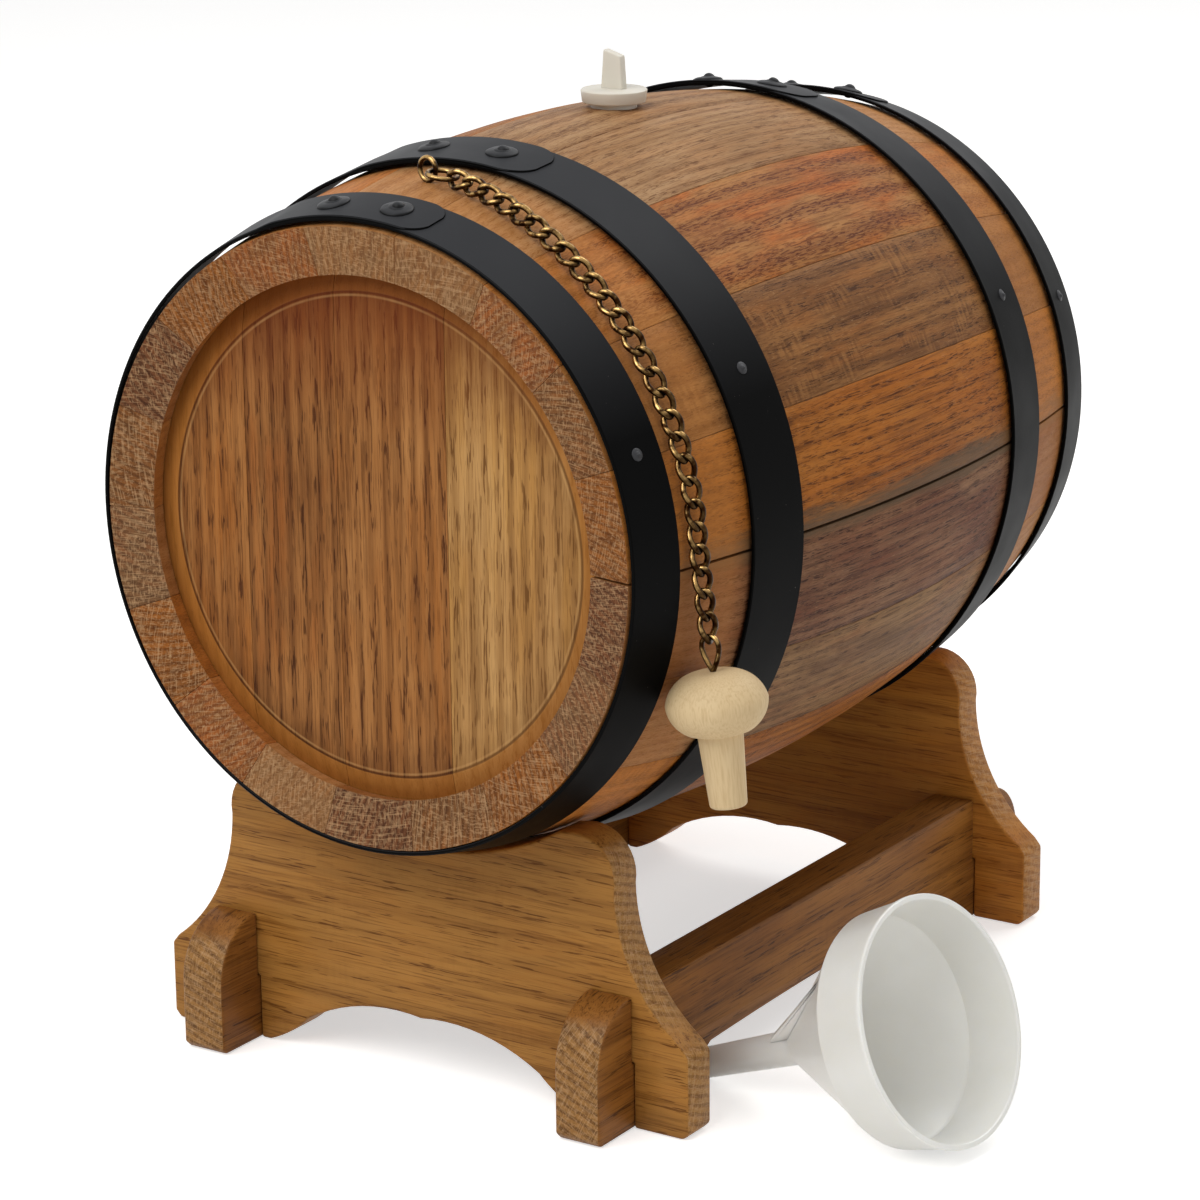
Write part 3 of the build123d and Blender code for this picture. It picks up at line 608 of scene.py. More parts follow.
def bored(piece, radius, base, height):
    """Cut a round upright hole through a piece."""
    at = standing(base, (0, 0, 1))
    drill = solid("drill", *turned([(0, 0), (radius, 0), (radius, height), (0, height)], at, 48))
    cut = piece.modifiers.new("bung hole", "BOOLEAN")
    cut.operation = "DIFFERENCE"
    cut.object = drill
    baked(piece)
    bpy.data.objects.remove(drill)
    piece.data.set_sharp_from_angle(angle=math.radians(CREASE))


# %% [markdown]
# A cooper takes staves from many planks, so neighbours differ in tone and in how they were sawn.
# Going round from the right joint, which has dried open and gone grey, each stave gets one of six
# oaks and one of three cuts.

# %% Six oaks for the staves
HONEY = ("#B07C48", "#9A6234", "#5A2A12", "#B86428")
PALE = ("#B28C64", "#9C744C", "#6A4426", "#AA7444")
AMBER = ("#B06E2E", "#925622", "#4A240C", "#B0641E")
RUSSET = ("#8C6648", "#663F2B", "#331A10", "#764026")
TAN = ("#9C6C3E", "#7C522E", "#482A16", "#965826")
ASH = ("#9C7850", "#7E5C3E", "#4C3220", "#8E5836")
STAVES_CHOSEN = (
    (AMBER, RIFT_SAWN, 0.5), (TAN, QUARTER_SAWN, 0.4), (HONEY, FLAT_SAWN, 0.8),
    (PALE, RIFT_SAWN, 0.4), (PALE, FLAT_SAWN, 0.5), (HONEY, RIFT_SAWN, 0.5),
    (AMBER, RIFT_SAWN, 0.5), (RUSSET, FLAT_SAWN, 0.5), (TAN, RIFT_SAWN, 0.5),
    (ASH, QUARTER_SAWN, 0.5), (AMBER, FLAT_SAWN, 0.5), (HONEY, RIFT_SAWN, 0.5),
    (PALE, QUARTER_SAWN, 0.5), (RUSSET, RIFT_SAWN, 0.5), (TAN, FLAT_SAWN, 0.5),
    (AMBER, QUARTER_SAWN, 0.5), (ASH, RIFT_SAWN, 0.5), (RUSSET, RIFT_SAWN, 0.4))
print(len(STAVES_CHOSEN), "staves chosen")

# %% Eighteen staves, one of them bored for the bung
STAVES = len(STAVES_CHOSEN)
FIRST_JOINT = 0.5
OPEN_JOINT = 0.7
SEAM = 0.16
WORN_EDGES = {1: (FIRST_JOINT, 7.0), STAVES: (0.0, 3.0)}
step = 360.0 / STAVES
for i in range(STAVES):
    low = FIRST_JOINT + i * step + math.degrees(SEAM / 2 / BILGE_R)
    high = FIRST_JOINT + (i + 1) * step - math.degrees(SEAM / 2 / BILGE_R)
    if i == STAVES - 1:
        high -= math.degrees(OPEN_JOINT / BILGE_R)
    node = "stave_%02d" % (i + 1)
    stave = solid(node + "_plank", *stave_shape(low, high))
    if low < 90 < high:
        bored(stave, BUNG_HOLE_R, (0, 0, AXIS_Z), 2 * BILGE_R)
    tones, sawing, blush = STAVES_CHOSEN[i]
    wood = oak("stave oak %02d" % (i + 1), tones, "stave", sawing, i + 1.0, blush,
               worn=WORN_EDGES.get(i + 1))
    dressed(stave, wood, "stave_oak", "cask", node)
print(STAVES, "staves, every", step, "degrees")

# %% [markdown]
# ## Heads
# Each head is four boards side by side, bevelled round the rim. The frame's own nodes have that
# shape already, so they stay, and only get their wood. Their grain stands upright. The radius
# where the flat face turns into the bevel is measured on those nodes.

# %% Wood for the heads
HEAD_SAWN = {"bands": 0.55, "band_w": 5.0, "swirl": 5.0, "rays": 0.0, "flecks": 0.05,
             "pore": (0.6, 9.0, 0.56)}
HEAD_TONES = (
    ("#AC7642", "#925A2A", "#4A2610", "#A46228"), ("#A46E3C", "#82522A", "#40200C", "#985624"),
    ("#AE7844", "#925E30", "#4A2610", "#A4642C"), ("#C2965E", "#AA7C48", "#6A4420", "#B88440"))
RIM = "#BC7A34"
fronts = [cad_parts["front_head_board_%d" % (i + 1)] for i in range(4)]
corners = [board.matrix_world @ v.co for board in fronts for v in board.data.vertices]
face_y = min(corner.y for corner in corners)
face = [corner - placed((0, 0, AXIS_Z)) for corner in corners if corner.y < face_y + 0.05 * MM]
FLAT_R = max(math.hypot(corner.x, corner.z) for corner in face)
for end in ("front", "rear"):
    for i, tones in enumerate(HEAD_TONES):
        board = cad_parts["%s_head_board_%d" % (end, i + 1)]
        seed = 31.0 + i if end == "front" else 41.0 + i
        finish(board, oak("%s head oak %d" % (end, i + 1), tones, "Z", HEAD_SAWN, seed,
                          rim=(FLAT_R, RIM)))
print("two heads, flat out to", round(FLAT_R / MM, 1), "mm")

# %% [markdown]
# ## Hoops
# A hoop is one strip of mild steel, lapped over its own start on the top of the cask, riveted
# twice, and powder coated black. The strip is skinned from small rounded sections. Its upper end
# rises over the start, runs on as a second layer and ends in a rounded tongue.

# %% Sizes of the four hoops
HOOP_T = 1.2
HOOP_PRESS = 0.55
HOOP_STEPS = 180
CHIME_HOOP_W = 17.2
QUARTER_HOOP_W = 22.0
HOOP_ROOM = 0.25
HOOP_LIFT = 0.5
LAP_START, LAP_END = 106.0, 76.0
LAP_ROOT, LAP_LIFTS, LAP_RISE = 7.0, 6.0, 5.0
TONGUE = 0.4
CHIME_HOOP_INSET, QUARTER_HOOP_Y = 0.15, 74.0
CHIME_HOOP_Y = HALF_LENGTH - CHIME_HOOP_W / 2 - CHIME_HOOP_INSET
HOOPS = {"front_chime": (-CHIME_HOOP_Y, CHIME_HOOP_W),
         "front_quarter": (-QUARTER_HOOP_Y, QUARTER_HOOP_W),
         "rear_quarter": (QUARTER_HOOP_Y, QUARTER_HOOP_W),
         "rear_chime": (CHIME_HOOP_Y, CHIME_HOOP_W)}


# %% The strip and its lap
def under_hoop(y, width):
    """Inner radii of a hoop at its two edges."""
    return [outer_r(y + side * width / 2) + HOOP_ROOM + HOOP_LIFT for side in (-1, 1)]


def strip_section(y, width, angle, half, lift):
    """A section of the strip: half its width, lifted off the layer below, with eased corners."""
    r0, r1 = under_hoop(y, width)
    a, ease, t = math.radians(angle), 0.3, HOOP_T
    corners = ((-half, ease), (-half + ease, 0), (half - ease, 0), (half, ease),
               (half, t - ease), (half - ease, t), (-half + ease, t), (-half, t - ease))
    ring = []
    for across, up in corners:
        r = r0 + (r1 - r0) * ((across + width / 2) / width) + up + lift
        ring.append(Vector((r * math.cos(a), y + across, r * math.sin(a) + AXIS_Z + HOOP_LIFT)))
    return ring


def hoop_shape(y, width):
    """The full ring, and the lap over its start as a second closed strip.

    The lap leaves the ring some degrees before its start, lifts off and rises over a few more.
    Its end is rounded like a tongue over a share of its width."""
    round_trip = [strip_section(y, width, 360 / HOOP_STEPS * i, width / 2, 0)
                  for i in range(HOOP_STEPS)]
    lap, angle, r = [], LAP_START + LAP_ROOT, outer_r(y)
    corner = width * TONGUE
    while angle > LAP_END + 1e-6:
        along = math.radians(angle - LAP_END) * r
        tuck = min(1.0, max(0.0, (LAP_START + LAP_LIFTS - angle) / LAP_RISE))
        lift = HOOP_PRESS * tuck * tuck * (3 - 2 * tuck)
        half = width / 2
        if along < corner:
            half = width / 2 - corner + math.sqrt(corner ** 2 - (corner - along) ** 2)
        lap.append(strip_section(y, width, angle, half - 0.02, lift))
        angle -= 1.0 if along > corner else 0.35
    return joined(skinned(round_trip, loop=True), skinned(lap))


# %% [markdown]
# Powder coat is a baked plastic skin: almost black, satin, with the faint orange peel that the
# powder leaves when it melts, and tiny pale nicks where hoops are driven down.

# %% Powder coat
NICK, DUST_AND_SHEEN = "#77706A", "#47484B"


def powder_coat(name, base, shine=0.03, peel=1.1):
    """Black powder coat: satin gloss with a little drift, orange peel, nicks, dust and painted
    sheen.
    """
    material, tree, shader = new_material(name)
    place = add(tree, "ShaderNodeTexCoord").outputs["Object"]
    nick = noise(tree, place, (1.4, 1.4, 1.4), Detail=3.0, Roughness=0.7)
    black = blend(tree, share(tree, nick, 0.735, 0.75, 0.5), colour(base), colour(NICK))
    # faces turned up grow lighter: dust, and a painted sheen standing in for the light from above
    up = add(tree, "ShaderNodeTexCoord").outputs["Normal"]
    up = add(tree, "ShaderNodeSeparateXYZ", {0: up}).outputs[2]
    black = blend(tree, share(tree, up, 0.4, 0.98, 0.55), black, colour(DUST_AND_SHEEN))
    tree.links.new(black, shader.inputs["Base Color"])
    haze = noise(tree, place, (22, 22, 22), Detail=4.0)
    tree.links.new(share(tree, haze, 0.3, 0.7, 0.46, 0.36), shader.inputs["Roughness"])
    raised(tree, shader, noise(tree, place, (peel, peel, peel), Detail=2.0), 0.12, 0.12)
    shader.inputs["Specular IOR Level"].default_value = shine
    return material


HOOP_COAT = powder_coat("powder coated hoop steel", "#050505")
RIVET_COAT = powder_coat("powder coated rivet steel", "#09090A", shine=0.12)
NAIL_STEEL = powder_coat("worn nail steel", "#303032", shine=0.2)
for name, (y, width) in HOOPS.items():
    hoop = solid(name + "_strip", *hoop_shape(y, width))
    dressed(hoop, HOOP_COAT, "hoop_steel", "cask", name + "_hoop")
print(len(HOOPS), "hoops, lapped from", LAP_START, "to", LAP_END, "degrees")

# %% [markdown]
# ## Rivets and nails
# What repeats is a job for Geometry Nodes. The tree takes bare points that know which way is out,
# piles three flattened balls on each, ever narrower, and dents them with noise, as a hammer does.
# It ends by making the copies real and giving them their material, because an exported model
# keeps no instances. The chain's tree further on begins and ends in the same way.

# %% How such a tree begins and ends
def new_tree(name, sizes):
    """A Geometry Nodes tree that takes points, named sizes and a material, and those inputs."""
    tree = bpy.data.node_groups.new(name, "GeometryNodeTree")
    sockets = [("Points", "NodeSocketGeometry")]
    sockets += [(size, "NodeSocketFloat") for size in sizes]
    sockets += [("Finish", "NodeSocketMaterial")]
    for label, kind in sockets:
        tree.interface.new_socket(label, in_out="INPUT", socket_type=kind)
    tree.interface.new_socket("Grown", in_out="OUTPUT", socket_type="NodeSocketGeometry")
    return tree, add(tree, "NodeGroupInput").outputs


def set_on(tree, points, shape, turn):
    """A copy of a shape on every point, turned, as real geometry."""
    copies = add(tree, "GeometryNodeInstanceOnPoints", {
        "Points": points, "Instance": shape, "Rotation": turn})
    return add(tree, "GeometryNodeRealizeInstances", {"Geometry": copies.outputs[0]}).outputs[0]


def end_with(tree, shape, material):
    """Smooth a shape, give it its material and hand it out of the tree."""
    smooth = add(tree, "GeometryNodeSetShadeSmooth", {"Geometry": shape})
    done = add(tree, "GeometryNodeSetMaterial", {
        "Geometry": smooth.outputs[0], "Material": material})
    add(tree, "NodeGroupOutput", {0: done.outputs[0]})


# %% A tree that sets hammered heads on points
HEAD_STEPS = ((1.0, 0.45, 0.0), (0.66, 0.66, 0.03), (0.42, 1.0, 0.1))
DENTS_PER_METRE = 420.0


def heads_tree():
    """Geometry Nodes: a hammered head with a raised middle on every point, facing out."""
    tree, given = new_tree("hammered heads", ("Head radius", "Head height", "Hammering", "Seed"))
    ball = add(tree, "GeometryNodeMeshUVSphere", {"Segments": 28, "Rings": 14, "Radius": 1.0})
    shapes = []
    for wide, high, off in HEAD_STEPS:
        r, h, aside = (scaled(tree, given[label], part) for label, part in (
            ("Head radius", wide), ("Head height", high), ("Head radius", off)))
        size = add(tree, "ShaderNodeCombineXYZ", {0: r, 1: r, 2: h})
        moved = add(tree, "ShaderNodeCombineXYZ", {0: aside})
        shapes.append(add(tree, "GeometryNodeTransform", {
            "Geometry": ball.outputs["Mesh"], "Translation": moved.outputs[0],
            "Scale": size.outputs[0]}).outputs[0])
    dome = add(tree, "GeometryNodeJoinGeometry")
    for shape in shapes:
        tree.links.new(shape, dome.inputs[0])
    out = add(tree, "GeometryNodeInputNamedAttribute", {"Name": "out"}, data_type="FLOAT_VECTOR")
    turn = add(tree, "FunctionNodeAlignRotationToVector", {"Vector": out.outputs[0]}, axis="Z")
    real = set_on(tree, given["Points"], dome.outputs[0], turn.outputs[0])
    dent = add(tree, "ShaderNodeTexNoise", {
        "W": given["Seed"], "Scale": DENTS_PER_METRE, "Detail": 1.0}, noise_dimensions="4D")
    deep = add(tree, "ShaderNodeMath", {
        0: dent.outputs["Fac"], 1: given["Hammering"]}, operation="MULTIPLY")
    normal = add(tree, "GeometryNodeInputNormal")
    push = add(tree, "ShaderNodeVectorMath", {
        0: normal.outputs[0], "Scale": deep.outputs[0]}, operation="SCALE")
    dented = add(tree, "GeometryNodeSetPosition", {
        "Geometry": real, "Offset": push.outputs[0]})
    end_with(tree, dented.outputs[0], given["Finish"])
    return tree


# %% Running a tree on points
def grown(name, tree, points, directions, settings):
    """Run a tree on points, in millimetres, that carry direction attributes; keep a plain mesh."""
    mesh = bpy.data.meshes.new(name)
    mesh.from_pydata([placed(p) for p in points], [], [])
    for label, vectors in directions.items():
        layer = mesh.attributes.new(label, "FLOAT_VECTOR", "POINT")
        layer.data.foreach_set("vector", [c for v in vectors for c in v])
    piece = bpy.data.objects.new(name, mesh)
    bpy.context.scene.collection.objects.link(piece)
    growth = piece.modifiers.new("grown", "NODES")
    growth.node_group = tree
    for socket in tree.interface.items_tree:
        if socket.in_out == "INPUT" and socket.name in settings:
            growth[socket.identifier] = settings[socket.name]
    baked(piece)
    print(name, "from", len(points), "points:", len(piece.data.polygons), "faces")
    return piece


# %% Where rivets and nails sit
RIVET_ANGLES = (97.3, 84.2)
RIVET_R, RIVET_H = 4.5, 2.0
NAIL_ANGLES = (21.6, 28.7, 25.4, 21.6)
NAIL_R, NAIL_H = 1.75, 0.95


def on_hoop(y, width, angle, thick):
    """A point on a hoop, this many millimetres thick there, and the direction out of it."""
    r0, r1 = under_hoop(y, width)
    r, a = (r0 + r1) / 2 + thick, math.radians(angle)
    reach = HOOP_LIFT * math.sin(a) + math.sqrt(r * r - (HOOP_LIFT * math.cos(a)) ** 2)
    point = (reach * math.cos(a), y, reach * math.sin(a) + AXIS_Z)
    return point, Vector((math.cos(a), (r0 - r1) / width, math.sin(a))).normalized()


HEADS = heads_tree()
for seed, (name, (y, width)) in enumerate(HOOPS.items()):
    spots = [on_hoop(y, width, angle, HOOP_T + HOOP_PRESS) for angle in RIVET_ANGLES]
    rivets = grown(name + "_rivet_heads", HEADS, [p for p, _ in spots],
                   {"out": [n for _, n in spots]},
                   {"Head radius": RIVET_R * MM, "Head height": RIVET_H * MM,
                    "Hammering": 0.5 * MM, "Seed": float(seed), "Finish": RIVET_COAT})
    dressed(rivets, RIVET_COAT, "rivet_steel", "cask", name + "_rivets")
spots = [on_hoop(*row, angle, HOOP_T) for row, angle in zip(HOOPS.values(), NAIL_ANGLES)]
nails = grown("hoop_nail_heads", HEADS, [p for p, _ in spots], {"out": [n for _, n in spots]},
              {"Head radius": NAIL_R * MM, "Head height": NAIL_H * MM,
               "Hammering": 0.2 * MM, "Seed": 9.0, "Finish": NAIL_STEEL})
dressed(nails, NAIL_STEEL, "rivet_steel", "cask", "hoop_nails")

# %% [markdown]
# ## Chain
# A curb chain is bent from wire: each link is an oval twisted a quarter turn end to end, so that
# the links lie flat in a row. One Geometry Nodes tree bends and twists a link and sets it on every
# point of a route. The route is the frame's: down over the cask from the eye, then hanging free.
# The wire is drawn thicker than the frame's plain one, at the same pitch.

# %% A tree that bends, twists and sets chain links
def links_tree():
    """Geometry Nodes: a twisted oval link on every point, along one attribute, facing another."""
    tree, given = new_tree("curb links", ("Link length", "Link width", "Wire", "Twist"))
    circle = add(tree, "GeometryNodeCurvePrimitiveCircle", {"Resolution": 32, "Radius": 0.5})
    length, width = (add(tree, "ShaderNodeMath", {
        0: given[label], 1: given["Wire"]}, operation="SUBTRACT").outputs[0]
        for label in ("Link length", "Link width"))
    size = add(tree, "ShaderNodeCombineXYZ", {0: length, 1: width, 2: 1.0})
    spot = add(tree, "GeometryNodeInputPosition")
    oval = add(tree, "ShaderNodeVectorMath", {
        0: spot.outputs[0], 1: size.outputs[0]}, operation="MULTIPLY")
    along = add(tree, "ShaderNodeSeparateXYZ", {0: spot.outputs[0]})
    angle = add(tree, "ShaderNodeMath", {
        0: along.outputs[0], 1: given["Twist"]}, operation="MULTIPLY")
    twisted = add(tree, "ShaderNodeVectorRotate", {
        "Vector": oval.outputs[0], "Angle": angle.outputs[0]}, rotation_type="X_AXIS")
    bent = add(tree, "GeometryNodeSetPosition", {
        "Geometry": circle.outputs[0], "Position": twisted.outputs[0]})
    half = add(tree, "ShaderNodeMath", {0: given["Wire"], 1: 0.5}, operation="MULTIPLY")
    gauge = add(tree, "GeometryNodeCurvePrimitiveCircle", {
        "Resolution": 10, "Radius": half.outputs[0]})
    link = add(tree, "GeometryNodeCurveToMesh", {
        "Curve": bent.outputs[0], "Profile Curve": gauge.outputs[0]})
    ahead = add(tree, "GeometryNodeInputNamedAttribute", {"Name": "ahead"},
                data_type="FLOAT_VECTOR")
    out = add(tree, "GeometryNodeInputNamedAttribute", {"Name": "out"}, data_type="FLOAT_VECTOR")
    turn = add(tree, "FunctionNodeAxesToRotation", {
        "Primary Axis": ahead.outputs[0], "Secondary Axis": out.outputs[0]},
        primary_axis="X", secondary_axis="Z")
    end_with(tree, set_on(tree, given["Points"], link.outputs[0], turn.outputs[0]),
             given["Finish"])
    return tree


# %% The chain's route over the cask
WIRE = 1.15
LINK_LENGTH, LINK_WIDTH = 8.6, 5.6
LINK_GAP = 0.12
PITCH = LINK_LENGTH - 2 * WIRE - LINK_GAP
LAID_LINKS, DROP_LINKS = 21, 5
CHAIN_INSET, CHAIN_TOP, CHAIN_WANDER = 23.0, 88.0, 12.0
CHAIN_ROOM = 0.15
CHAIN_Y = CHAIN_INSET - HALF_LENGTH
SLOPE = math.asin(-CHAIN_Y / BEND_R)
CHAIN_RISE = (CHAIN_ROOM + WIRE / 2) / math.cos(SLOPE) + (LINK_WIDTH - WIRE) / 2
LEAN = 7.5
CHAIN_TILT, MORE_ON_TOP = 28.0, 30.0
DRAWN_WIRE, DRAWN_LINK, DRAWN_WIDTH = 1.7, 9.6, 6.3
DRAWN_RISE = 0.3


def chain_point(angle):
    """Middle of the chain where it lies on the cask at an angle."""
    a = math.radians(angle)
    y = CHAIN_Y + CHAIN_WANDER * (max(angle, 0) / CHAIN_TOP) ** 3
    r = outer_r(y) + CHAIN_RISE
    return Vector((r * math.cos(a), y, r * math.sin(a) + AXIS_Z))


def laid_route():
    """Ends of the links that lie on the cask, from the lowest up."""
    ends, angle = [chain_point(LEAN)], LEAN
    for _ in range(LAID_LINKS):
        low, high = angle, angle + 2 * math.degrees(PITCH / END_R)
        for _ in range(40):
            angle = (low + high) / 2
            if (chain_point(angle) - ends[-1]).length < PITCH:
                low = angle
            else:
                high = angle
        ends.append(chain_point(angle))
    return ends


# %% How each link sits
def link_places(ends):
    """Middle and direction of each link, and where its flat side looks: out, tilted forward."""
    middles = [(a + b) / 2 for a, b in zip(ends, ends[1:])]
    ahead = [(b - a).normalized() for a, b in zip(ends, ends[1:])]
    radial = [Vector((m.x, 0, m.z - AXIS_Z)).normalized() for m in middles]
    front = Vector((0, -1, 0))
    tilts = [math.radians(CHAIN_TILT + MORE_ON_TOP * max(0, r.z)) for r in radial]
    outs = [r * math.cos(t) + front * math.sin(t) for r, t in zip(radial, tilts)]
    return middles, ahead, outs


# %% [markdown]
# Antique brass is brass darkened with acid and then rubbed: brown in the hollows, golden where
# links touch. As a metal it keeps the default index of refraction.

# %% Antique brass
# the last colour is painted shade, for faces turned away from the key lamp
PATINA, GOLD, BRASS_PAINTED_SHADE = "#2C190A", "#C29C62", "#200F04"


def antique_brass(name):
    """Brass with a brown patina rubbed to gold in spots, and painted shade where faces turn from
    the key light.
    """
    material, tree, shader = new_material(name)
    place = add(tree, "ShaderNodeTexCoord").outputs["Object"]
    patina = noise(tree, place, (2.2, 2.2, 2.2), Detail=3.0)
    worn = blend(tree, share(tree, patina, 0.38, 0.62), colour(PATINA), colour(GOLD))
    # painted shade: faces turned away from the key lamp darken
    out = add(tree, "ShaderNodeTexCoord").outputs["Normal"]
    facing_key_light = add(tree, "ShaderNodeVectorMath", {0: out, 1: (-0.3, -0.45, 0.84)},
                 operation="DOT_PRODUCT").outputs["Value"]
    worn = blend(tree, share(tree, facing_key_light, 0.2, 0.7, 0.0, 0.9), worn, colour(BRASS_PAINTED_SHADE))
    tree.links.new(worn, shader.inputs["Base Color"])
    tree.links.new(share(tree, patina, 0.3, 0.7, 0.22, 0.4), shader.inputs["Roughness"])
    shader.inputs["Metallic"].default_value = 1.0
    return material


BRASS = antique_brass("antique brass wire")
print("brass for the chain and all wire")

# %% The chain, laid and hanging
LINKS = links_tree()
LINK_SIZES = {"Link length": DRAWN_LINK * MM, "Link width": DRAWN_WIDTH * MM,
              "Wire": DRAWN_WIRE * MM, "Twist": math.radians(-90), "Finish": BRASS}
route = laid_route()
middles, ahead, outs = link_places(route)
middles = [m + Vector((m.x, 0, m.z - AXIS_Z)).normalized() * DRAWN_RISE for m in middles]
laid = grown("laid_links", LINKS, middles, {"ahead": ahead, "out": outs}, LINK_SIZES)
dressed(laid, BRASS, "chain_brass", "cask", "laid_chain")

hang = route[0]
lean = math.radians(LEAN)
down = Vector((math.sin(lean), 0, -math.cos(lean)))
middles, ahead, outs = link_places([hang + down * (PITCH * i) for i in range(DROP_LINKS + 1)])
drop = grown("drop_links", LINKS, middles, {"ahead": ahead, "out": outs}, LINK_SIZES)
dressed(drop, BRASS, "chain_brass", "chain_drop", "drop_chain")

# %% [markdown]
# ## Wire eyes and the ring
# The chain starts at a screw eye in the top stave, through a small ring. Bent wire is a circle
# carried along a path, with enough sections to stay round.

# %% Bending wire
def wire_shape(path, radius, sides=12, loop=False):
    """Carry a circle along a path of points."""
    sections, n = [], len(path)
    normal = None
    for i, here in enumerate(path):
        before = path[i - 1] if i or loop else here
        after = path[(i + 1) % n] if i < n - 1 or loop else here
        forward = (after - before).normalized()
        if normal is None:
            normal = forward.orthogonal().normalized()
        normal = (normal - forward * forward.dot(normal)).normalized()
        side = forward.cross(normal)
        sections.append([here + (normal * math.cos(a) + side * math.sin(a)) * radius
                         for a in (2 * math.pi * k / sides for k in range(sides))])
    return skinned(sections, loop)


def circle_path(at, radius, steps=36):
    """Points round the Z axis of a matrix."""
    turns = (2 * math.pi * i / steps for i in range(steps))
    return [at @ Vector((radius * math.cos(a), radius * math.sin(a), 0)) for a in turns]


# %% The anchor's eye and its ring
RING_R, RING_WIRE, RING_GAP = 4.2, 1.1, 0.2
DRAWN_EYE_WIRE = 1.45
ANCHOR_R, EYE_WIRE = 3.2, 1.2
PIN_DEPTH = 9.0
end, before = route[-1], route[-2]
pull = (before - end).normalized()
near = end - pull * ((LINK_LENGTH - WIRE - PITCH) / 2)
ring_middle = near - pull * (RING_R - RING_WIRE / 2 - WIRE / 2 - RING_GAP)
eye_middle = ring_middle - pull * (RING_R + ANCHOR_R - EYE_WIRE / 2 - RING_WIRE / 2 - RING_GAP)
out = Vector((eye_middle.x, 0, eye_middle.z - AXIS_Z)).normalized()
foot = Vector((0, eye_middle.y, AXIS_Z)) + out * outer_r(eye_middle.y)
eye_at = standing(foot, out, pull)
loop_at = standing(eye_middle, eye_at.col[1].xyz, pull)
pin = [eye_at @ Vector((0, 0, z)) for z in (-PIN_DEPTH, (eye_middle - foot).length - ANCHOR_R)]
anchor = solid("anchor_eye", *joined(
    wire_shape(circle_path(loop_at, ANCHOR_R), DRAWN_EYE_WIRE / 2, loop=True),
    wire_shape(pin, DRAWN_EYE_WIRE / 2)))
dressed(anchor, BRASS, "chain_brass", "cask", "chain_anchor")
side = Vector((0, 0, 1)).cross(pull).normalized()
ring_path = circle_path(standing(ring_middle, pull.cross(side), pull), RING_R)
ring = solid("anchor_ring_wire", *wire_shape(ring_path, DRAWN_EYE_WIRE / 2, loop=True))
dressed(ring, BRASS, "chain_brass", "cask", "chain_ring")
print("ring at", [round(v, 1) for v in ring_middle])

# %% [markdown]
# ## Stopper
# The stopper is turned from beech and left raw: pale, close grained and matt, with faint fibres
# along it. Its screw eye holds the last link.

# %% Turned wood
def turned_wood(name, tones, middle, axis, seed, gloss=0.4):
    """A close-grained wood turned on a lathe: fine streaks along the axis of the piece."""
    material, tree, shader = new_material(name)
    place = add(tree, "ShaderNodeTexCoord").outputs["Object"]
    turn = Vector(axis).normalized().rotation_difference(Vector((0, 1, 0))).to_euler()
    local = add(tree, "ShaderNodeMapping", {"Vector": place, "Location": tuple(-placed(middle))})
    space = add(tree, "ShaderNodeMapping", {
        "Vector": local.outputs[0], "Rotation": tuple(turn),
        "Location": (seed * 0.1, 0, seed * 0.3)}).outputs[0]
    light, mean, dark = (colour(tone) for tone in tones)
    fibre = noise(tree, space, (0.5, 12, 0.5), Detail=3.0)
    wood = blend(tree, noise(tree, space, (5, 60, 5), Detail=2.0), light, mean)
    wood = blend(tree, share(tree, fibre, 0.45, 0.75, 0.45), wood, dark)
    tree.links.new(wood, shader.inputs["Base Color"])
    shader.inputs["Roughness"].default_value = 1 - gloss
    shader.inputs["Specular IOR Level"].default_value = 0.3
    raised(tree, shader, fibre, 0.2, 0.12)
    return material


# %% Where the stopper hangs
# The knob rests against the cask, which says how long its eye is.
KNOB_R, KNOB_TOP, KNOB_H, KNOB_ROOM = 14.1, 8.2, 16.8, 0.3
STOPPER_LENGTH = 37.6
SHANK_R, SHANK_TIP_R = 6.3, 5.2
PEAR_W = 6.6
knob_reach = outer_r(CHAIN_Y) + KNOB_R + KNOB_ROOM
eye_drop = (math.sqrt(knob_reach ** 2 - (outer_r(CHAIN_Y) + CHAIN_RISE) ** 2)
            - DROP_LINKS * PITCH - KNOB_TOP)
stopper_top = hang + down * (DROP_LINKS * PITCH + eye_drop)
stopper_at = standing(stopper_top, -down, (1, 0, 0))


# %% Outlines of the knob, the shank and the pear-shaped eye
def stopper_outline():
    """Radius and height of the stopper, from the middle of its top round to its tip."""
    k, flat, ease = KNOB_R, 3.4, 0.9
    neck = (k * 0.66, 0.5 - KNOB_H)
    crown = through((flat, 0), (k * 0.80, -KNOB_TOP * 0.36), (k, -KNOB_TOP), 14)
    under = through((k, -KNOB_TOP), (k * 0.91, -KNOB_H * 0.76), neck, 10)
    tip = through((SHANK_TIP_R, ease - STOPPER_LENGTH),
                  (SHANK_TIP_R - 0.3 * ease, 0.3 * ease - STOPPER_LENGTH),
                  (SHANK_TIP_R - ease, -STOPPER_LENGTH), 4)
    return ([(0, 0)] + crown + under[1:] + [(SHANK_R + 0.5, -KNOB_H), (SHANK_R, -KNOB_H - 0.5)]
            + tip + [(0, -STOPPER_LENGTH)])


def pear_path(width, height, steps=40):
    """A drop-shaped loop in the XZ plane, pointed at the bottom, where its wires meet.

    Widest is the most that the product of sines reaches, which gives the loop its full width."""
    path, widest = [], 0.742
    for i in range(steps):
        t = 2 * math.pi * (i + 0.5) / steps
        across = math.sin(t) * math.sin(t / 2) ** 1.2 / widest
        path.append(Vector((width / 2 * across, 0, height * (1 - math.cos(t)) / 2)))
    return path


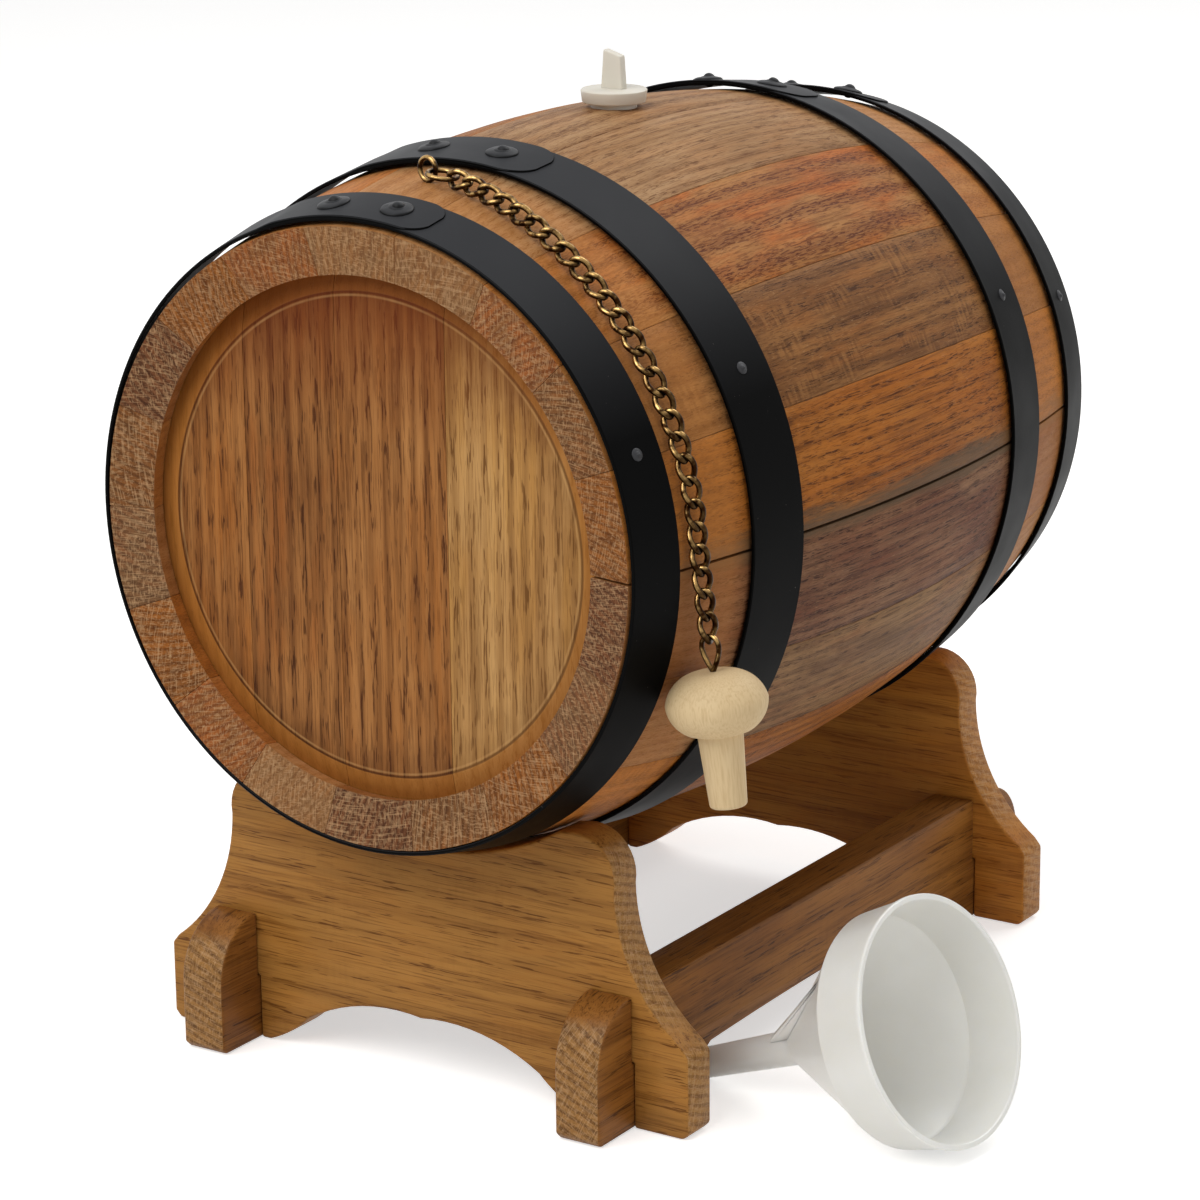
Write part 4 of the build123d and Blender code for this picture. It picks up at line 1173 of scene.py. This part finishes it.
# %% The stopper and its eye
BEECH = turned_wood("raw turned beech", ("#DDC499", "#D0B488", "#B48F5E"),
                    stopper_top, down, 3.0)
stopper = solid("stopper_turning", *turned(stopper_outline(), stopper_at, 72))
dressed(stopper, BEECH, "stopper_wood", "stopper", "stopper")
pear = pear_path(PEAR_W - EYE_WIRE, eye_drop + (EYE_WIRE + LINK_GAP) / 2)
pin = [Vector((0, 0, z)) for z in (-PIN_DEPTH, EYE_WIRE)]
stopper_eye = solid("stopper_eye_wire", *joined(
    wire_shape([stopper_at @ p for p in pear], DRAWN_EYE_WIRE / 2, loop=True),
    wire_shape([stopper_at @ p for p in pin], DRAWN_EYE_WIRE / 2)))
dressed(stopper_eye, BRASS, "chain_brass", "stopper", "stopper_eye")
print("stopper hangs", round(hang.z - stopper_top.z, 1), "mm below the chain's turn")

# %% [markdown]
# ## Bung and funnel
# Both are injection moulded. The bung is polyethylene: soft, white and dense, so light goes in a
# little way and comes out again. The funnel is thin polypropylene: milky, so most of the light
# spreads inside its wall and a little goes straight through.

# %% Moulded plastic
def moulded(name, base, rough, soft, clear=0.0, weight=0.0):
    """A moulded plastic: soft is how far light spreads in it, in millimetres."""
    material, tree, shader = new_material(name)
    place = add(tree, "ShaderNodeTexCoord").outputs["Object"]
    cloud = noise(tree, place, (12, 12, 12), Detail=2.0)
    milk = blend(tree, cloud, colour(base[0]), colour(base[1]))
    tree.links.new(milk, shader.inputs["Base Color"])
    raised(tree, shader, noise(tree, place, (0.9, 0.9, 0.9), Detail=2.0), 0.06, 0.1)
    for socket, value in (("Roughness", rough), ("IOR", 1.5), ("Transmission Weight", clear),
                          ("Subsurface Weight", weight), ("Subsurface Scale", soft * MM),
                          ("Subsurface Radius", (1.0, 0.95, 0.85))):
        shader.inputs[socket].default_value = value
    return material


# %% The bung
BUNG_FLANGE_R, BUNG_FLANGE_H = 9.9, 4.0
BUNG_STAND, BUNG_ROOM = 1.3, 0.05
FIN_W, FIN_T, FIN_H = 6.6, 3.0, 11.6


def bung_shape():
    """A flanged, tapered plug."""
    at = standing((0, 0, AXIS_Z + BILGE_R + BUNG_STAND), (0, 0, 1))
    r, rim, top = BUNG_HOLE_R - BUNG_ROOM, BUNG_FLANGE_R, BUNG_FLANGE_H
    plug = [(0, -13.0), (5.9, -13.0), (6.4, -12.5), (r, -9.0), (r, 0), (rim - 0.8, 0),
            (rim - 0.4, 0.4), (rim, top - 0.4), (rim - 0.4, top), (0, top)]
    return turned(plug, at, 64)


def fin_shape():
    """The upright fin, thin along Y, its top cut at a slant."""
    top = AXIS_Z + BILGE_R + BUNG_STAND + BUNG_FLANGE_H
    w, t = FIN_W / 2, FIN_T / 2
    outline = [(-w - 0.5, -0.5), (w + 0.5, -0.5), (w - 0.2, FIN_H - 1.8), (-w + 0.5, FIN_H)]
    return skinned([[Vector((x, y, top + z)) for x, z in outline] for y in (-t, t)])


POLYETHYLENE = moulded("moulded white polyethylene", ("#E0DACE", "#D6D0C1"), 0.42, 1.5, weight=0.3)
fin = eased(solid("bung_fin", *fin_shape()), 0.5)
plug = solid("bung_plug", *bung_shape(), crease=50)
work = bmesh.new()
work.from_mesh(plug.data)
work.from_mesh(fin.data)
work.to_mesh(plug.data)
work.free()
bpy.data.objects.remove(fin)
dressed(plug, POLYETHYLENE, "bung_plastic", "bung", "bung")
print("bung of", len(plug.data.polygons), "faces")

# %% The funnel
MOUTH_R = 35.2
BAND_W, BAND_R = 16.9, 33.6
CONE_END, SPOUT_R, SPOUT_TIP_R = 52.0, 5.2, 4.45
WALL = 1.2
MOUTH_X, MOUTH_Y = 152.9, -73.9
TURN, TILT = math.radians(-5.6), math.radians(21.6)


def funnel_shape():
    """Lip, band, cone and spout turned as one wall, and the rib between cone and spout."""
    axis = Vector((math.cos(TILT) * math.cos(TURN), math.cos(TILT) * math.sin(TURN),
                   math.sin(TILT)))
    up = Vector((-math.sin(TILT) * math.cos(TURN), -math.sin(TILT) * math.sin(TURN),
                 math.cos(TILT)))
    height = BAND_R * math.cos(TILT) + BAND_W * math.sin(TILT)
    at = standing((MOUTH_X, MOUTH_Y, height), axis, up)
    tip = BAND_W + (BAND_R - SPOUT_TIP_R) / math.tan(TILT)
    outside = [(MOUTH_R + 0.2, 0), (MOUTH_R + 0.5, -0.3), (MOUTH_R + 0.5, -1.3),
               (MOUTH_R + 0.2, -1.7), (MOUTH_R, -2.0), (BAND_R, -BAND_W + 0.4),
               (BAND_R - 0.5, -BAND_W - 0.4), (BAND_R - 1.6, -BAND_W - 1.0),
               (SPOUT_R + 1.4, -CONE_END + 1.6), (SPOUT_R + 0.1, -CONE_END - 0.2),
               (SPOUT_R, -CONE_END - 2.0), (SPOUT_TIP_R, -tip)]
    inside = [(SPOUT_TIP_R - 1.0, -tip), (SPOUT_R - WALL, -CONE_END - 2.0),
              (SPOUT_R - WALL + 0.1, -CONE_END - 0.3), (BAND_R - 1.4 - WALL, -BAND_W + 0.4),
              (BAND_R - WALL - 0.3, -BAND_W + 0.9), (BAND_R - WALL, -BAND_W + 1.8),
              (MOUTH_R - WALL, -0.3), (MOUTH_R - WALL + 0.3, 0)]
    slope = (BAND_R - 1.6 - SPOUT_R) / (CONE_END - BAND_W - 1.0)
    start_r = BAND_R - 1.6 - slope * 3.0
    rib = [(start_r, -BAND_W - 3.2), (SPOUT_R + 1.6, -CONE_END - 5.0),
           (SPOUT_R + 0.4, -CONE_END - 6.4), (SPOUT_R - 0.6, -CONE_END - 6.4),
           (SPOUT_R - 0.6, -CONE_END + 0.4), (start_r - 0.5, -BAND_W - 4.6)]
    rib_at = at @ Matrix.Rotation(math.radians(45), 4, "Z")
    web = skinned([[rib_at @ Vector((r, y, h)) for r, h in rib] for y in (-WALL / 2, WALL / 2)])
    return joined(turned(outside + inside, at, 96, closed=True), web)


POLYPROPYLENE = moulded("milky polypropylene", ("#F4F3EE", "#ECEBE4"), 0.32, 2.5,
                        clear=0.08, weight=0.7)
funnel = solid("funnel_moulding", *funnel_shape())
dressed(funnel, POLYPROPYLENE, "funnel_plastic", "funnel", "funnel")
print("funnel of", len(funnel.data.polygons), "faces")

# %% [markdown]
# ## Tap
# A wooden tap has a tapered plug driven into the head, a beaded barrel, a nozzle, and a key with a
# cross bore. Everything on it comes off a lathe, so everything here is turned.

# %% The tap's barrel, nozzle and key
TAP_Z = AXIS_Z - 50.0
TAP_R, TAP_LENGTH = 8.4, 44.0
NOZZLE_Y = HEAD_Y + 25.0
GRIP_UP = 21.2
barrel_at = standing((0, HEAD_Y, TAP_Z), (0, 1, 0))
nozzle_at = standing((0, NOZZLE_Y, TAP_Z), (0, 0, 1))
r = TAP_R
barrel = [(0, -12.0), (6.9, -12.0), (7.2, -11.6), (8.0, 0.3), (10.6, 0.3), (11.0, 0.8),
          (11.0, 2.7), (10.6, 3.2), (r + 0.5, 4.4), (r, 5.4), (7.8, 9.0), (7.8, 12.0),
          (8.2, 13.6), (9.0, 15.0), (9.0, 34.5), (8.4, 35.4), (6.2, 37.0), (6.0, 37.8),
          (6.7, 39.2), (6.6, 41.0), (5.4, 43.2), (3.6, TAP_LENGTH), (0, TAP_LENGTH)]
nozzle = [(0, -11), (2.4, -11), (2.4, -20.6), (2.8, -21), (4.1, -21), (4.43, -20.6),
          (4.7, -12), (5.4, -2), (5.4, 0), (0, 0)]
key = [(0, -10.2), (4.3, -10.2), (4.6, -9.9), (4.6, 9.6), (4.8, 10.0), (6.6, 10.2), (6.8, 10.6),
       (6.8, 12.2), (6.4, 12.8), (4.2, 14.0), (3.8, 14.8), (3.8, 17.6), (0, 17.6)]
grip = [(0, -14.4), (2.2, -13.9), (4.0, -12.3), (4.9, -9.9), (4.7, -7.9), (3.9, -6.2),
        (4.1, -3.6), (4.4, 0), (4.1, 3.6), (3.9, 6.2), (4.7, 7.9), (4.9, 9.9), (4.0, 12.3),
        (2.2, 13.9), (0, 14.4)]
grip_at = standing((0, NOZZLE_Y, TAP_Z + GRIP_UP), (1, 0, 0), (0, 0, 1))
TAP_WOOD = turned_wood("oiled turned beech", ("#A97C4C", "#8F6236", "#5F3C1C"),
                       (0, NOZZLE_Y, TAP_Z), (0, 1, 0), 5.0, gloss=0.5)
tap = solid("tap_turning", *joined(turned(barrel, barrel_at), turned(nozzle, nozzle_at, 48)))
dressed(tap, TAP_WOOD, "tap_wood", "cask", "tap")
tap_key = solid("tap_key_turning", *joined(turned(key, nozzle_at, 48), turned(grip, grip_at, 48)))
dressed(tap_key, TAP_WOOD, "tap_wood", "tap_key", "tap_key")
print("tap reaches", HEAD_Y + TAP_LENGTH, "mm from the middle")

# %% [markdown]
# ## Stand
# Four sawn boards, halved into each other without a nail. Outlines are drawn half and mirrored,
# given their thickness, and then every arris is eased, because varnish does not hold on a sharp
# edge.

# %% Sizes of the stand
BOARD_T = 12.0
FOOT_HALF, FOOT_H = 91.5, 25.0
WAIST_X, WAIST_Z = 67.3, 69.0
HORN_X, HORN_Z = 54.0, 84.8
ARCH_HALF, ARCH_H = 55.0, 17.8
RAIL_IN, RAIL_T, RAIL_H = 58.8, 14.4, 39.5
RAIL_NOSE = 18.3
RAIL_END = BOARD_IN + BOARD_T + RAIL_NOSE
RAIL_ARCH_HALF, RAIL_ARCH_H = BOARD_IN - 13.8, 13.0
HALVING_Z = 19.7
SLIP = 0.15


print("rails end", RAIL_END, "mm from the middle")


# %% Outline of an end board
def board_half():
    """Right half of an end board, from the top of the arch round to the saddle's end."""
    top_x = HORN_X - 5.0
    top_z = AXIS_Z - math.sqrt(SADDLE_R ** 2 - top_x ** 2)
    bend = (ARCH_HALF * 0.745, ARCH_H * 0.53)
    waist = ((FOOT_HALF + WAIST_X) / 2 - 2.6, FOOT_H + (WAIST_Z - FOOT_H) * 0.33)
    inner, outer = RAIL_IN - SLIP, RAIL_IN + RAIL_T + SLIP
    points = through((0, ARCH_H), (ARCH_HALF * 0.44, ARCH_H * 0.93), bend, 10)
    points += through(bend, (ARCH_HALF * 0.87, ARCH_H * 0.22), (ARCH_HALF + 0.5, 0), 8)[1:]
    points += [(inner, 0), (inner, HALVING_Z), (outer, HALVING_Z), (outer, 0)]
    points += [(FOOT_HALF - 2, 0), (FOOT_HALF, 2), (FOOT_HALF, FOOT_H - 1)]
    points += through((FOOT_HALF - 2.2, FOOT_H + 1.6), waist, (WAIST_X, WAIST_Z), 16)
    points += through((WAIST_X, WAIST_Z), (WAIST_X - 3.4, HORN_Z - 4.2), (HORN_X, HORN_Z), 10)[1:]
    return points, (top_x, top_z)


def board_outline():
    """Whole outline of an end board as (x, z)."""
    half, top = board_half()
    saddle = through(top, (0, AXIS_Z - SADDLE_R), (-top[0], top[1]), 28)
    return half + saddle + [(-x, z) for x, z in reversed(half[1:])]


print("end board outline of", len(board_outline()), "points")


# %% Outline of a rail
def rail_outline():
    """Whole outline of a rail as (y, z)."""
    b, h = RAIL_ARCH_HALF, RAIL_ARCH_H
    low, high = BOARD_IN - SLIP, BOARD_IN + BOARD_T + SLIP
    half = through((0, h), (b * 0.42, h * 0.98), (b * 0.80, h * 0.92), 10)
    half += through((b * 0.80, h * 0.92), (b * 0.92, h * 0.47), (b + 2, 0), 8)[1:]
    half += [(RAIL_END - 2, 0), (RAIL_END, 2)]
    middle_y, middle_z = RAIL_END - RAIL_NOSE, RAIL_H - RAIL_NOSE
    sweep = math.acos((high - middle_y) / RAIL_NOSE)
    for i in range(15):
        a = sweep * i / 14
        half.append((middle_y + RAIL_NOSE * math.cos(a), middle_z + RAIL_NOSE * math.sin(a)))
    seat = HALVING_Z - SLIP
    half += [(high, seat), (low, seat), (low, RAIL_H)]
    return half + [(-y, z) for y, z in reversed(half[1:])]


print("rail outline of", len(rail_outline()), "points")

# %% The stand's four boards
BOARD_TONES = ("#B07C3C", "#9E6E34", "#62380F", "#A87030")
# the rear board's tones are lighter and more orange: painted bounce light between the boards
REAR_BOUNCE_TONES = ("#C68438", "#B2702E", "#7E4816", "#C07626")
# the rails' tones are darker: painted shade, as the rails stand in shade
RAIL_SHADED_TONES = ("#9A662E", "#805022", "#4A290C", "#905A20")
STAND_ENDS = (0.45, "#AC8652")
STAND_SAWN = {"bands": 0.3, "band_w": 8.0, "swirl": 6.0, "rays": 0.1, "flecks": 0.05,
              "pore": (0.6, 12.0, 0.59)}
for name, y in (("front_end_board", -BOARD_IN - BOARD_T), ("rear_end_board", BOARD_IN)):
    shape = [[Vector((x, y + t, z)) for x, z in board_outline()] for t in (0, BOARD_T)]
    board = eased(solid(name + "_sawn", *skinned(shape)), 0.9)
    tones = BOARD_TONES if y < 0 else REAR_BOUNCE_TONES
    wood = oak(name.replace("_", " ") + " oak", tones, "X", STAND_SAWN, 61.0 + y / 50,
               gloss=0.54, coat=0.1, aged=STAND_ENDS)
    dressed(board, wood, "stand_oak", "stand", name)
for name, x in (("left_rail", -RAIL_IN - RAIL_T), ("right_rail", RAIL_IN)):
    shape = [[Vector((x + t, y, z)) for y, z in rail_outline()] for t in (0, RAIL_T)]
    rail = eased(solid(name + "_sawn", *skinned(shape)), 0.8)
    wood = oak(name.replace("_", " ") + " oak", RAIL_SHADED_TONES, "Y", STAND_SAWN, 71.0 + x / 50,
               gloss=0.54, coat=0.1, aged=STAND_ENDS)
    dressed(rail, wood, "stand_oak", "stand", name)
print("stand of four boards")

# %% [markdown]
# ## Light, floor and camera
# The object stands on a pale floor in soft, plain light. The floor and the world look white to the
# camera, in reflections and through clear plastic, while the light they throw on the object stays
# soft and low.

# %% Light that only direct looks see
def seen_directly(tree):
    """1 for rays from the camera, in reflections or through clear material, otherwise 0."""
    path = add(tree, "ShaderNodeLightPath").outputs
    first = add(tree, "ShaderNodeMath", {
        0: path["Is Camera Ray"], 1: path["Is Glossy Ray"]}, operation="MAXIMUM")
    both = add(tree, "ShaderNodeMath", {
        0: first.outputs[0], 1: path["Is Transmission Ray"]}, operation="MAXIMUM")
    return both.outputs[0]


# %% The floor and the world
FLOOR_SIZE, FLOOR_DROP = 12.0, 0.0002
FLOOR_GLOW, WORLD_LIGHT = 0.55, 0.3
bpy.ops.mesh.primitive_plane_add(size=FLOOR_SIZE, location=(0, 0, -FLOOR_DROP))
floor = bpy.context.object
floor.name = "studio_floor"
paper, tree, shader = new_material("white paper floor")
shader.inputs["Base Color"].default_value = colour("#F2F1EF")
shader.inputs["Roughness"].default_value = 0.9
shader.inputs["Emission Color"].default_value = (1, 1, 1, 1)
lift = add(tree, "ShaderNodeMath", {0: seen_directly(tree), 1: FLOOR_GLOW}, operation="MULTIPLY")
tree.links.new(lift.outputs[0], shader.inputs["Emission Strength"])
floor.data.materials.append(paper)

world = bpy.data.worlds.new("studio")
bpy.context.scene.world = world
world.use_nodes = True
sky = world.node_tree
sky.nodes.clear()
strength = add(sky, "ShaderNodeMapRange", {
    "Value": seen_directly(sky), "To Min": WORLD_LIGHT, "To Max": 1.0})
glow = add(sky, "ShaderNodeBackground", {
    "Color": (1, 1, 1, 1), "Strength": strength.outputs[0]})
add(sky, "ShaderNodeOutputWorld", {"Surface": glow.outputs[0]})
print("floor", FLOOR_SIZE, "m wide, world at", WORLD_LIGHT)

# %% Lamps
AIM_HEIGHT = 130.0


def lamp(name, at, power, size):
    """A square soft lamp at a place in metres, aimed at the cask."""
    light = bpy.data.lights.new(name, "AREA")
    light.energy = power
    light.size = size
    holder = bpy.data.objects.new(name, light)
    bpy.context.scene.collection.objects.link(holder)
    holder.location = at
    aim = placed((0, 0, AIM_HEIGHT)) - Vector(at)
    holder.rotation_euler = aim.to_track_quat("-Z", "Y").to_euler()


lamp("key", (-0.35, -1.35, 1.6), 26.5, 1.5)
lamp("fill", (1.7, -0.5, 0.7), 4.5, 1.4)
lamp("back", (0.4, 1.2, 1.7), 14.0, 1.2)
print("soft lamps from the front left, the right and behind")

# %% The camera
CAMERA = (646.58, -1003.26, 452.48)
SENSOR, LENS, FAR_END = 36.0, 121.87, 50.0
YAW, PITCH_DOWN, ROLL = math.radians(33.066), math.radians(-15.637), math.radians(-0.540)
camera = bpy.data.objects.new("camera", bpy.data.cameras.new("camera"))
bpy.context.scene.collection.objects.link(camera)
look = Vector((-math.sin(YAW) * math.cos(PITCH_DOWN), math.cos(YAW) * math.cos(PITCH_DOWN),
               math.sin(PITCH_DOWN)))
right = Vector((math.cos(YAW), math.sin(YAW), 0))
above = right.cross(look)
right, above = (right * math.cos(ROLL) + above * math.sin(ROLL),
                above * math.cos(ROLL) - right * math.sin(ROLL))
turn = Matrix((right, above, -look)).transposed().to_4x4()
camera.matrix_world = Matrix.Translation(placed(CAMERA)) @ turn
camera.data.sensor_width = SENSOR
camera.data.lens = LENS
camera.data.clip_end = FAR_END
bpy.context.scene.camera = camera
bpy.context.scene.view_settings.view_transform = "Standard"
print("camera", [round(v, 3) for v in camera.location])
